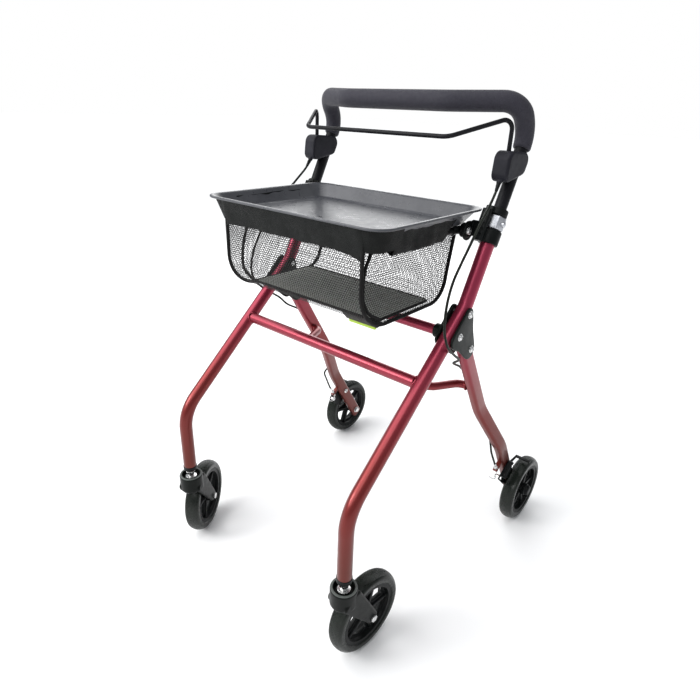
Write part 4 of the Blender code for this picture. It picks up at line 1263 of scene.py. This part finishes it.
def band_corner(side, word):
    """The part of the band that goes round a front corner."""
    top = corner_line(0.1892, -0.2350, 0.0285)
    foot = corner_line(0.1808, -0.2268, 0.0330)

    def on_corner(u, v):
        x, y = (a + (b - a) * v for a, b in zip(foot(u), top(u)))
        hem = 0.7022 + 0.0035 * u + 0.0007 * math.sin(11 * u)
        return Vector((side * x, y, hem + (0.7374 - hem) * v))

    corner = piece(f"basket_band_corner_{word}", ribbon(8, 30, on_corner), "carrier", "cloth")


def floor_panel():
    low = BASKET_Y[0] + BASKET_CORNERS[0] - 0.0150
    high = BASKET_Y[1] - BASKET_REAR_SLOPE - BASKET_CORNERS[1] + 0.004
    rings = []
    base = BASKET_Z[0] + 0.0036
    edge = ((0.0012, 0.0), (0.0003, 0.0005), (0.0, 0.0012), (0.0, 0.0028), (0.0003, 0.0035), (0.0012, 0.0040))
    for inset, z in edge:
        rings.append(box_ring(0.1465 - inset, low + inset, high - inset, 0.010, base + z, 8))
    piece("basket_floor_panel", ring_solid(rings), "carrier", "panel", ["basket_floor"])
    hem = box_ring(0.1460, low + 0.001, high - 0.001, 0.010, base + 0.0024, 8)
    path = [Vector(p) for p in hem]
    rings = []
    count = len(path)
    for i, point in enumerate(path):
        along = (path[(i + 1) % count] - path[i - 1]).normalized()
        rings.append(ring_at(point, along.cross(AXIS_Z), AXIS_Z, circle(0.0026, 10)))
    piece("basket_floor_hem", ring_solid(rings, closed=True), "carrier", "tape")


# Rear frame


def rear_leg(side, word):
    top_z = HINGE_BOLT[1] + 0.0155
    foot_z = WHEEL_R - 0.0140
    corners = mirrored(
        (
            (REAR_TOP_X, *rear_point(top_z)),
            (REAR_TOP_X, *rear_point(0.335)),
            (REAR_FOOT_X, *rear_point(0.225)),
            (REAR_FOOT_X, *rear_point(foot_z)),
        ),
        side,
    )
    path = rounded_path(corners, (0.16, 0.16), math.radians(1.5))
    half = REAR_DEPTH / 2
    start = path[0]
    along = (path[1] - path[0]).normalized()
    tips = []
    steps = 14
    for i in range(steps):
        turn = math.pi / 2 * i / steps
        tips.append(start + along * half * (1 - math.sin(turn + 0.02)))
    tips.sort(key=lambda tip: (tip - start).dot(along))
    rings = []
    across = along.cross(AXIS_X).normalized()
    for point in tips:
        reach = (point - start).dot(along)
        width = math.sqrt(max(half**2 - (half - reach) ** 2, 1e-7))
        corner = min(REAR_CORNER, width * 0.9, REAR_WIDTH / 2.1)
        rings.append(ring_at(point, AXIS_X, across, rounded_rectangle(REAR_WIDTH, 2 * width, corner, 7)))
    section = rounded_rectangle(REAR_WIDTH, REAR_DEPTH, REAR_CORNER, 7)
    body = [item for item in frames_on(path, AXIS_X) if (item[0] - start).dot(along) > half + 0.001]
    rings.append(ring_at(start + along * half, AXIS_X, across, section))
    rings += rings_on(body, section)
    piece(f"rear_leg_tube_{word}", ring_solid(rings), "rear_frame", "paint", [f"rear_leg_{word}"])
    end = path[-1]
    plug = []
    for inset, drop in ((0.0, -0.0006), (0.0, 0.0016), (0.0010, 0.0028), (0.0030, 0.0034)):
        outline = rounded_rectangle(REAR_WIDTH - 0.001 - 2 * inset, REAR_DEPTH - 0.001 - 2 * inset, 0.0052, 7)
        plug.append(ring_at(end + REAR_DOWN * drop, AXIS_X, REAR_FORWARD, outline))
    piece(f"rear_leg_plug_{word}", ring_solid(plug), "rear_frame", "plastic")


def rear_stay():
    face = REAR_TOP_X - REAR_WIDTH / 2 - 0.0001
    right = ((face, *STAY_SPOT), (0.1900, *STAY_SPOT), (0.1600, -0.0190, 0.4107))
    corners = [(x, y, z) for x, y, z in right] + [(-x, y, z) for x, y, z in right[::-1]]
    path = rounded_path(corners, (0.022, 0.030, 0.030, 0.022), math.radians(3))
    piece("rear_stay_tube", tube(path, STAY_R, 36), "rear_frame", "paint", ["rear_stay"])
    for side, word in SIDES:
        steps = 40
        rings = []
        for i in range(steps):
            turn = 2 * math.pi * i / steps
            out = Vector((0, math.cos(turn), math.sin(turn)))
            bead = 0.0016 + 0.0003 * math.sin(8 * turn)
            point = Vector((side * (face - 0.0004), *STAY_SPOT)) + out * (STAY_R + 0.0003)
            rings.append([point + out * a * bead + AXIS_X * b * bead for a, b in circle(1.0, 10)])
        piece(f"stay_weld_{word}", ring_solid(rings, closed=True), "rear_frame", "paint")


def adjuster_axis(side):
    face = Vector((side * REAR_FOOT_X, *rear_point(ADJUSTER_Z))) + REAR_FORWARD * REAR_DEPTH / 2
    return face, face + REAR_FORWARD * ADJUSTER_REACH


def adjuster(side, word):
    face, axis = adjuster_axis(side)
    rings = []
    for reach, shrink in ((-0.001, 0.0), (0.0225, 0.0), (0.0235, 0.0008)):
        section = rounded_rectangle(0.0105 - shrink, 0.0058 - shrink, 0.0014, 5)
        rings.append(ring_at(face + REAR_FORWARD * reach, AXIS_X, REAR_DOWN, section))
    piece(f"adjuster_lug_{word}", ring_solid(rings), "rear_frame", "paint", [f"cable_adjuster_{word}"])
    profile = [(0.0020, -0.0120), (0.0036, -0.0118), (0.0039, -0.0112), (0.0039, -0.0068), (0.0030, -0.0062)]
    for i in range(13):
        profile.append((0.0030 if i % 2 else 0.0026, -0.0060 + i * 0.0014))
    profile += [(0.0022, 0.0125), (0.0016, 0.0130)]
    barrel = turned_solid(axis, REAR_DOWN, profile, 28)
    upper = hexagon(axis, REAR_DOWN, 0.0085, -0.0062, -0.0030)
    lower = hexagon(axis, REAR_DOWN, 0.0085, 0.0031, 0.0056)
    piece(f"adjuster_barrel_{word}", merged(barrel, upper, lower), "rear_frame", "chrome", (), 30)


def brake(side, word):
    x_low, x_high = BRAKE_PLATE_X
    bar_y, bar_z = BRAKE_BAR
    eye = (*BRAKE_BOLT, 0.0095)
    low, high = span(side, x_low, x_high)
    parts = [
        plate(hull_outline((eye, (*BRAKE_LEVER_TIP, 0.0060), (0.1990, 0.1180, 0.0065))), low, high),
        plate(hull_outline((eye, (0.1860, 0.1460, 0.0085))), *span(side, x_low, BRAKE_BOSS_X), 0.0015),
    ]
    body = moulded(parts, 0.0006, 2)
    hole = cross_rod(side, BRAKE_BOLT, 0.25, 0.28, SCREW_HOLE_R, edge=0.0)
    stands_for = [f"brake_arm_{word}"]
    piece(f"brake_lever_body_{word}", carved(body, hole), f"arm_{word}", "plastic", stands_for)
    rear = hull_outline(((BRAKE_BOLT[0], BRAKE_BOLT[1] + 0.0020, 0.0045), (bar_y, bar_z, 0.0034)))
    arm = plate(rear, low + 0.0001, high - 0.0001, 0.0005)
    section = rounded_rectangle(0.0085, 0.0036, 0.0012, 5)
    bar = plate([(bar_y + a, bar_z + b) for a, b in section], *span(side, x_low, BRAKE_BAR_X), 0.0006)
    piece(f"brake_bar_{word}", merged(arm, bar), f"arm_{word}", "plastic")


def brake_wire(side, word):
    """The bare wire out of the adjuster and the screw that holds it to the lever's tip."""
    tip = Vector((0, *BRAKE_LEVER_TIP))
    outwards = AXIS_X * side
    stud = cross_rod(side, BRAKE_LEVER_TIP, 0.2440, 0.2600, 0.0022, 20)
    nut = hexagon(tip, outwards, 0.0080, 0.2485, 0.2552)
    washer = cross_rod(side, BRAKE_LEVER_TIP, 0.2455, 0.2468, 0.0048, edge=0.0003)
    cap = hexagon(tip, outwards, 0.0072, 0.2580, 0.2612)
    piece(f"wire_clamp_{word}", merged(stud, nut, washer, cap), f"arm_{word}", "chrome", (), 30)
    _, axis = adjuster_axis(side)
    grip_point = tip + outwards * 0.2476
    knots = [
        axis - REAR_DOWN * 0.004,
        axis + REAR_DOWN * 0.013,
        grip_point + Vector((0, 0.0008, 0.0030)),
        grip_point + Vector((0, -0.0040, -0.0055)),
        grip_point + Vector((0, -0.0180, 0.0020)),
        grip_point + Vector((0, -0.0400, 0.0200)),
    ]
    wire = tube(smooth_route(knots, 50), 0.0007, 10, 0.0002)
    piece(f"brake_wire_{word}", wire, f"arm_{word}", "chrome")


def rear_bolts(side, word):
    """The brake lever's pivot screw and the rear axle."""
    outwards = AXIS_X * side
    inside = REAR_FOOT_X - REAR_WIDTH / 2
    centre = Vector((0, *BRAKE_BOLT))
    head = dome(centre, -outwards, 0.0062, -inside, 0.0042, 0.0020)
    shank = cross_rod(side, BRAKE_BOLT, inside, BRAKE_BOSS_X + 0.0004, SCREW_R)
    outer = hexagon(centre, outwards, 0.0095, BRAKE_BOSS_X + 0.0002, BRAKE_BOSS_X + 0.0032)
    screw = merged(head, shank, outer)
    piece(f"brake_screw_{word}", screw, "rear_frame", "chrome", [f"brake_bolt_{word}"], 30)
    spot = (REAR_AXLE_Y, WHEEL_R)
    head = hexagon((0, *spot), -outwards, 0.0128, -inside, -inside + 0.0050, 0.0007)
    washer = cross_rod(side, spot, inside, inside - 0.0010, 0.0085, 32, 0.0003)
    shank = cross_rod(side, spot, inside, REAR_WHEEL_X + 0.015, AXLE_R)
    bolt = merged(head, washer, shank)
    piece(f"rear_axle_bolt_{word}", bolt, "rear_frame", "chrome", [f"rear_axle_{word}"], 30)


# Wheels, built about their own axle along +Z


def tyre_mesh():
    """A tyre with fine grooves round its tread and a soft shoulder."""
    half = WHEEL_WIDTH / 2
    bead = ((0.0, 0.0022), (0.0014, 0.0006), (0.0032, 0.0), (WHEEL_R - 0.0098 - TYRE_INNER_R, 0.0))
    profile = [(TYRE_INNER_R + rise, -half + inset) for rise, inset in bead]
    widest = math.radians(78)
    steps = 44
    for i in range(steps + 1):
        place = -1 + 2 * i / steps
        turn = place * widest
        height = half * math.sin(turn) / math.sin(widest)
        radius = WHEEL_R - 0.0083 * (1 - math.cos(turn)) / (1 - math.cos(widest))
        groove = 0.0 if abs(place) > 0.62 else 0.00045 * (0.5 + 0.5 * math.cos(math.pi * i))
        profile.append((radius - groove, height))
    profile += [(TYRE_INNER_R + rise, half - inset) for rise, inset in bead[::-1]]
    return turned(ORIGIN, AXIS_Z, profile, 144)


def window(middle):
    """One rounded-triangle window of the wheel's web, as a prism."""
    circles = [(0.0425, 0.36, 0.0050), (0.0425, -0.36, 0.0050), (0.0235, 0.0, 0.0040)]
    spots = [(r * math.cos(middle + a), r * math.sin(middle + a), c) for r, a, c in circles]
    spots.append((0.0445 * math.cos(middle), 0.0445 * math.sin(middle), 0.0045))
    outline = hull_outline(spots, 32)
    return ring_solid([[(a, b, h) for a, b in outline] for h in (-0.02, 0.02)])


def rim_mesh(outer_face, inner_face, cap):
    """Hub, five-window web and flange as one moulding; heights run outwards along +Z."""
    rim_r = TYRE_INNER_R + 0.0002
    flange = (
        (0.0520, -0.0130),
        (rim_r + 0.0016, -0.0130),
        (rim_r + 0.0016, -0.0118),
        (rim_r, -0.0110),
        (rim_r, 0.0110),
        (rim_r + 0.0016, 0.0118),
        (rim_r + 0.0016, 0.0130),
        (0.0520, 0.0130),
    )
    web = 0.0030
    disc = turned(ORIGIN, AXIS_Z, ((0.0080, -web), (0.0540, -web), (0.0540, web), (0.0080, web)), 96)
    windows = [window(2 * math.pi * (k + 0.5) / SPOKES) for k in range(SPOKES)]
    disc = carved(disc, *windows)
    barrel = (
        (HUB_BORE_R, -inner_face),
        (0.0125, -inner_face),
        (0.0140, outer_face),
        (HUB_BORE_R, outer_face),
    )
    hub = turned(ORIGIN, AXIS_Z, barrel, 64)
    parts = [turned(ORIGIN, AXIS_Z, flange, 120), disc, hub]
    for k in range(SPOKES):
        turn = 2 * math.pi * k / SPOKES
        ahead = Vector((math.cos(turn), math.sin(turn), 0))
        aside = Vector((-math.sin(turn), math.cos(turn), 0))
        rings = []
        for reach, width in ((0.010, 0.0042), (0.055, 0.0034)):
            outline = rounded_rectangle(2 * width, 0.0150, 0.0016, 4)
            rings.append(ring_at(ahead * reach, aside, AXIS_Z, outline))
        parts.append(ring_solid(rings))
    if cap:
        dome_line = ((0.0120, 0.005), (0.0118, 0.021), (0.0100, 0.0243), (0.0060, 0.0250))
        parts.append(turned_solid(ORIGIN, AXIS_Z, dome_line, 48))
    return moulded(parts, 0.0010, 3)


def caster_turn(side):
    stem = Vector((side * LEG_X, STEM_Y, 0))
    return Matrix.Translation(stem) @ Matrix.Rotation(CASTER_REST[side], 4, "Z") @ Matrix.Translation(-stem)


def onto(centre, axis):
    return Matrix.Translation(centre) @ basis(axis).to_4x4()


def wheels():
    tyre = tyre_mesh()
    rear_rim = rim_mesh(0.0170, 0.0150, True)
    caster_rim = rim_mesh(0.0165, 0.0165, False)
    for side, word in SIDES:
        rear = onto((side * REAR_WHEEL_X, REAR_AXLE_Y, WHEEL_R), (side, 0, 0))
        body = f"rear_wheel_{word}"
        piece(f"rear_tyre_ring_{word}", placed(tyre, rear), body, "rubber", [f"rear_tyre_{word}"], 25)
        piece(f"rear_rim_body_{word}", placed(rear_rim, rear), body, "plastic", [f"rear_rim_{word}"])
        turn = caster_turn(side)
        centre = turn @ Vector((side * LEG_X, STEM_Y + TRAIL, WHEEL_R))
        front = onto(centre, turn.to_3x3() @ Vector((side, 0, 0)))
        body = f"caster_wheel_{word}"
        piece(f"caster_tyre_ring_{word}", placed(tyre, front), body, "rubber", [f"caster_tyre_{word}"], 25)
        piece(f"caster_rim_body_{word}", placed(caster_rim, front), body, "plastic", [f"caster_rim_{word}"])
    for bm in (tyre, rear_rim, caster_rim):
        bm.free()


def caster_fork(side, word):
    x = side * LEG_X
    turn = caster_turn(side)
    axle_y = STEM_Y + TRAIL
    stem = Vector((x, STEM_Y, 0))
    cup = (
        (FORK_HUB_R - 0.0030, FORK_LOW_Z),
        (FORK_HUB_R, FORK_LOW_Z + 0.0050),
        (FORK_HUB_R, FORK_TOP_Z - 0.0020),
        (FORK_HUB_R - 0.0015, FORK_TOP_Z - 0.0004),
    )
    parts = [turned_solid(stem, AXIS_Z, cup, 56)]
    for hand in (-1, 1):
        near = x + hand * (FORK_ARM_X[0] - 0.0030)
        for reach, grow in ((FORK_ARM_X[1], 0.0), (FORK_ARM_X[1] - 0.0016, 0.0018)):
            outline = hull_outline(
                (
                    (axle_y, WHEEL_R, 0.0110 + grow),
                    (STEM_Y - 0.0070, FORK_LOW_Z + 0.0085, 0.0075 + grow),
                    (STEM_Y + 0.0120, FORK_TOP_Z - 0.0160, 0.0080 + grow),
                )
            )
            low, high = sorted((near, x + hand * reach))
            arm = plate(outline, low, high, 0.0012)
            arm.transform(turn)
            parts.append(arm)
    fork = moulded(parts, 0.0009, 10)
    spot = (axle_y, WHEEL_R)
    inner_x, outer_x = FORK_ARM_X
    room = cross_rod(1, spot, x - inner_x, x + inner_x, WHEEL_R + 0.0035, 96, 0.0015)
    pin = cross_rod(1, spot, x - 0.03, x + 0.03, 0.0042, edge=0.0)
    for cutter in (room, pin):
        cutter.transform(turn)
    top = turned_solid(stem, AXIS_Z, ((0.0160, 0.1665), (0.0178, 0.1690), (0.0182, 0.1800)), 48)
    bore = rod((x, STEM_Y, 0.1500), (x, STEM_Y, 0.1700), 0.0057, 28, 0.0)
    body = f"caster_{word}"
    made = carved(fork, room, top, bore, pin)
    piece(f"caster_fork_body_{word}", made, body, "fork", [f"caster_fork_{word}"])
    piece(f"caster_ring_{word}", turned(stem, AXIS_Z, CASTER_RING, 64), body, "ring")


def caster_bolts(side, word):
    """The stem that the fork turns on and the wheel's axle."""
    x = side * LEG_X
    stem = Vector((x, STEM_Y, 0))
    shell = turned_solid(stem, AXIS_Z, CASTER_STEM, 36)
    nut = hexagon(stem, AXIS_Z, 0.0155, 0.1775, 0.1835, 0.0008)
    washer = rod((x, STEM_Y, 0.1836), (x, STEM_Y, 0.1850), 0.0102, 36, 0.0003)
    made = merged(shell, nut, washer)
    piece(f"caster_stem_bolt_{word}", made, "frame", "chrome", [f"caster_stem_{word}"], 30)
    turn = caster_turn(side)
    centre = turn @ Vector((x, STEM_Y + TRAIL, WHEEL_R))
    axis = turn.to_3x3() @ AXIS_X
    outer_x = FORK_ARM_X[1]
    end = axis * (outer_x + 0.001)
    bolt = [rod(centre - end, centre + end, AXLE_R, 24)]
    bolt.append(hexagon(centre, axis, 0.0125, outer_x - 0.0002, outer_x + 0.0042, 0.0007))
    bolt.append(dome(centre, -axis, 0.0070, outer_x - 0.0002, 0.0040, 0.0024))
    piece(f"caster_axle_bolt_{word}", merged(*bolt), f"caster_{word}", "chrome", [f"caster_axle_{word}"], 30)


# Handle


def handle():
    right = (
        (LEG_X, *mast_point(0.6440)),
        (LEG_X, *mast_point(0.8580)),
        (0.2115, 0.0860, 0.9065),
        (0.1080, 0.0340, 0.9035),
    )
    corners = [Vector(p) for p in right] + [Vector((-x, y, z)) for x, y, z in right[::-1]]
    path = rounded_path(corners, (0.046, 0.037, 0.060, 0.060, 0.037, 0.046), math.radians(3))
    piece("handle_tube_body", tube(path, HANDLE_R, 44), "handle", "handle", ["handle_tube"])
    ends = [Vector((side * LEG_X, *mast_point(GRIP_LOW_Z))) for side in (RIGHT, LEFT)]
    middle = [p for p in path if p.z > GRIP_LOW_Z + 0.004]
    line = [ends[0], ends[0] + MAST * 0.0015, ends[0] + MAST * 0.0035] + middle
    line += [ends[1] + MAST * 0.0035, ends[1] + MAST * 0.0015, ends[1]]
    radii = []
    for point in line:
        rise = min(max((point.z - GRIP_LOW_Z) / 0.055, 0.0), 1.0)
        radii.append(GRIP_LOW_R + (GRIP_R - GRIP_LOW_R) * rise)
    for k, shrink in ((0, 0.0022), (1, 0.0006), (-1, 0.0022), (-2, 0.0006)):
        radii[k] -= shrink
    frames = frames_on(line)
    outside = [ring_at(*frame, circle(r, 52)) for frame, r in zip(frames, radii)]
    inside = rings_on(frames, circle(HANDLE_R + 0.0002, 52))
    grip = piece("grip_sleeve", ring_solid(outside + inside[::-1], closed=True), "handle", "foam", ["grip"])


def cable_start(side):
    down, forward = CABLE_START
    return on_mast(side, HOUSING_Z - down, forward=forward)


def housing(side, word):
    """The brake lever's housing: a kite-shaped block with a flat raised side plate and a cable barrel."""
    centre = on_mast(side, HOUSING_Z)
    circles = []
    for ahead, along, radius in HOUSING_LOBES:
        spot = centre + MAST_FORWARD * ahead + MAST * along
        circles.append((spot.y, spot.z, radius))
    parts = [plate(hull_outline(circles), *span(side, LEG_X - 0.0148, LEG_X + 0.0140), 0.0040)]
    smaller = [(y, z, r - 0.0030) for y, z, r in circles]
    parts.append(plate(hull_outline(smaller), *span(side, LEG_X + 0.010, LEG_X + 0.0148), 0.0007))
    start = cable_start(side)
    toward = (start - mirrored(CABLE_LOOP, side)[0]).normalized()
    parts.append(rod(start - toward * 0.001, start + toward * 0.016, 0.0046, 24, 0.0008))
    body = moulded(parts, 0.0008, 3)
    y, z = HOOP_PIVOT
    swing = ((0, 0, 0.0062), (0.010, 0.060, 0.0062), (-0.012, 0.060, 0.0062), (0.040, 0.055, 0.006))
    room = hull_outline([(y + back, z + up, radius) for back, up, radius in swing])
    slot = plate(room, *span(side, LEG_X - 0.0052, LEG_X + 0.0045))
    bore = rod(on_mast(side, 0.760), on_mast(side, 0.870), HANDLE_R + 0.0003, 48, 0.0)
    hole = cross_rod(side, HOOP_PIVOT, LEG_X, LEG_X + 0.0125, HOOP_R + 0.0002, edge=0.0)
    made = carved(body, slot, bore, hole)
    piece(f"brake_housing_body_{word}", made, "handle", "housing", [f"brake_housing_{word}"])


def hoop():
    y, z = HOOP_PIVOT
    right = (
        (LEG_X + 0.0105, y, z),
        (LEG_X - 0.0004, y, z),
        (LEG_X - 0.0004, 0.0600, 0.8830),
        (0.1534, -0.0300, 0.8520),
    )
    corners = list(right) + [(-a, b, c) for a, b, c in right[::-1]]
    path = rounded_path(corners, (0.0042, 0.0140, 0.0220, 0.0220, 0.0140, 0.0042), math.radians(6))
    piece("brake_hoop_rod", tube(path, HOOP_R, 24), "brake_lever", "handle", ["brake_hoop"])


# Cables


def rear_leg_x(z):
    """The rear leg's distance from the middle at a height, with its outward jog as a straight line."""
    high, low = REAR_JOG_Z
    share = min(max((high - z) / (high - low), 0.0), 1.0)
    return REAR_TOP_X + (REAR_FOOT_X - REAR_TOP_X) * share


def cable_route(side):
    _, axis = adjuster_axis(side)
    end = axis - REAR_DOWN * 0.0126
    right = [*CABLE_LOOP, (LEG_X - side * 0.0060, -0.0240, 0.4800)]
    for height, shift in CABLE_ON_LEG:
        y, z = rear_point(height)
        right.append((rear_leg_x(height) - side * CABLE_ASIDE, y + shift, z))
    right += CABLE_TO_ADJUSTER[side]
    return [cable_start(side)] + mirrored(right, side) + [end - REAR_DOWN * 0.016, end]


def cable(side, word):
    """The brake cable in two runs: a loop from the lever housing, and a run on down the rear leg."""
    knots = cable_route(side)
    density = 10
    route = smooth_route(knots, (len(knots) - 1) * density)
    cut = CABLE_CUT * density
    upper = route[: cut + 1]
    lower = route[cut:]
    replaced = [f"brake_cable_{word}"]
    loop = piece(f"brake_cable_loop_{word}", tube(upper, CABLE_R, 16, 0.0003), None, "cable", replaced)
    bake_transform(loop)
    run = piece(f"brake_cable_run_{word}", tube(lower, CABLE_R, 16, 0.0003), None, "cable", replaced)
    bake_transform(run)
    lead = (upper[1] - upper[0]).normalized()
    sleeve = ((0.0036, -0.0010), (0.0036, 0.0060), (0.0031, 0.0075), (0.0027, 0.0140), (0.0023, 0.0150))
    piece(f"cable_boot_{word}", turned_solid(upper[0], lead, sleeve, 24), "handle", "plastic")
    tail = (lower[-2] - lower[-1]).normalized()
    cap = ((0.0027, -0.0010), (0.0029, 0.0), (0.0029, 0.0100), (0.0024, 0.0115))
    piece(f"cable_ferrule_{word}", turned_solid(lower[-1], tail, cap, 24), "rear_frame", "chrome")


# Floor, light and camera


def surroundings():
    """White where the camera looks, and a dimmer light that falls on the walker from all around."""
    scene = bpy.context.scene
    world = bpy.data.worlds.new("studio")
    scene.world = world
    world.use_nodes = True
    nodes = world.node_tree.nodes
    links = world.node_tree.links
    seen = set_inputs(nodes.new("ShaderNodeBackground"), Color=(1.0, 1.0, 1.0, 1.0), Strength=1.0)
    around = set_inputs(nodes["Background"], Color=(0.93, 0.96, 1.0, 1.0), Strength=0.42)
    path = nodes.new("ShaderNodeLightPath")
    mix = nodes.new("ShaderNodeMixShader")
    links.new(path.outputs["Is Camera Ray"], mix.inputs[0])
    links.new(around.outputs[0], mix.inputs[1])
    links.new(seen.outputs[0], mix.inputs[2])
    links.new(mix.outputs[0], nodes["World Output"].inputs["Surface"])
    scene.view_settings.view_transform = "Standard"
    scene.view_settings.look = "None"
    scene.view_settings.exposure = 0.0


def floor():
    floor_mat = new_look("studio_floor", 0.0, 1.0, Specular_IOR_Level=0.0)
    coloured(floor_mat, noise(floor_mat, 3, 2.0), ((0.3, (0.90, 0.90, 0.90)), (0.7, (0.93, 0.93, 0.93))))
    bm = bmesh.new()
    bmesh.ops.create_grid(bm, x_segments=8, y_segments=8, size=30)
    mesh = bpy.data.meshes.new("studio_floor")
    bm.to_mesh(mesh)
    bm.free()
    mesh.materials.append(floor_mat)
    ground = bpy.data.objects.new("studio_floor", mesh)
    ground.location.z = -0.0005
    bpy.context.scene.collection.objects.link(ground)


def lamps():
    scene = bpy.context.scene
    sun = bpy.data.lights.new("sun", "SUN")
    sun.angle = math.radians(75)
    sun.energy = 3.0
    lamp = bpy.data.objects.new("sun", sun)
    lamp.rotation_euler = Vector((0.35, 0.50, -0.80)).to_track_quat("-Z", "Y").to_euler()
    scene.collection.objects.link(lamp)
    softboxes = (
        ("key", (-1.5, -2.2, 1.7), (0, 0, 0.5), 1.0, 30),
        ("back", (-1.5, 2.0, 1.55), (0, 0, 0.7), 2.4, 38),
    )
    for name, spot, target, size, power in softboxes:
        light = bpy.data.lights.new(name, "AREA")
        light.size = size
        light.energy = power
        lamp = bpy.data.objects.new(name, light)
        lamp.location = spot
        lamp.rotation_euler = (Vector(target) - Vector(spot)).to_track_quat("-Z", "Y").to_euler()
        scene.collection.objects.link(lamp)


def camera():
    azimuth, elevation, roll = 0.6976, 0.4273, 0.0387
    level = math.cos(elevation)
    back = Vector((math.sin(azimuth) * level, -math.cos(azimuth) * level, math.sin(elevation)))
    right = Vector((math.cos(azimuth), math.sin(azimuth), 0))
    up = back.cross(right)
    across = right * math.cos(roll) + up * math.sin(roll)
    above = up * math.cos(roll) - right * math.sin(roll)
    data = bpy.data.cameras.new("camera")
    data.lens = 27.516
    data.sensor_width = 36
    data.dof.use_dof = False
    obj = bpy.data.objects.new("camera", data)
    turn = Matrix((across, above, back)).transposed()
    obj.matrix_world = Matrix.Translation((0.6199, -0.8020, 0.8897)) @ turn.to_4x4()
    bpy.context.scene.collection.objects.link(obj)
    bpy.context.scene.camera = obj


LOOKS = make_looks()


def build():
    camera()
    for side, word in SIDES:
        cable(side, word)
    crossbar()
    latch()
    carrier()
    tray()
    basket()
    piping()
    band_front()
    for side, word in SIDES:
        band_flap(side, word)
        band_corner(side, word)
    floor_panel()
    rear_stay()
    handle()
    hoop()
    wheels()
    for side, word in SIDES:
        front_leg(side, word)
        brackets(side, word)
        clamp(side, word)
        height_nut(side, word)
        rear_leg(side, word)
        adjuster(side, word)
        brake(side, word)
        brake_wire(side, word)
        rear_bolts(side, word)
        caster_fork(side, word)
        caster_bolts(side, word)
        housing(side, word)
    surroundings()
    floor()
    lamps()


build()
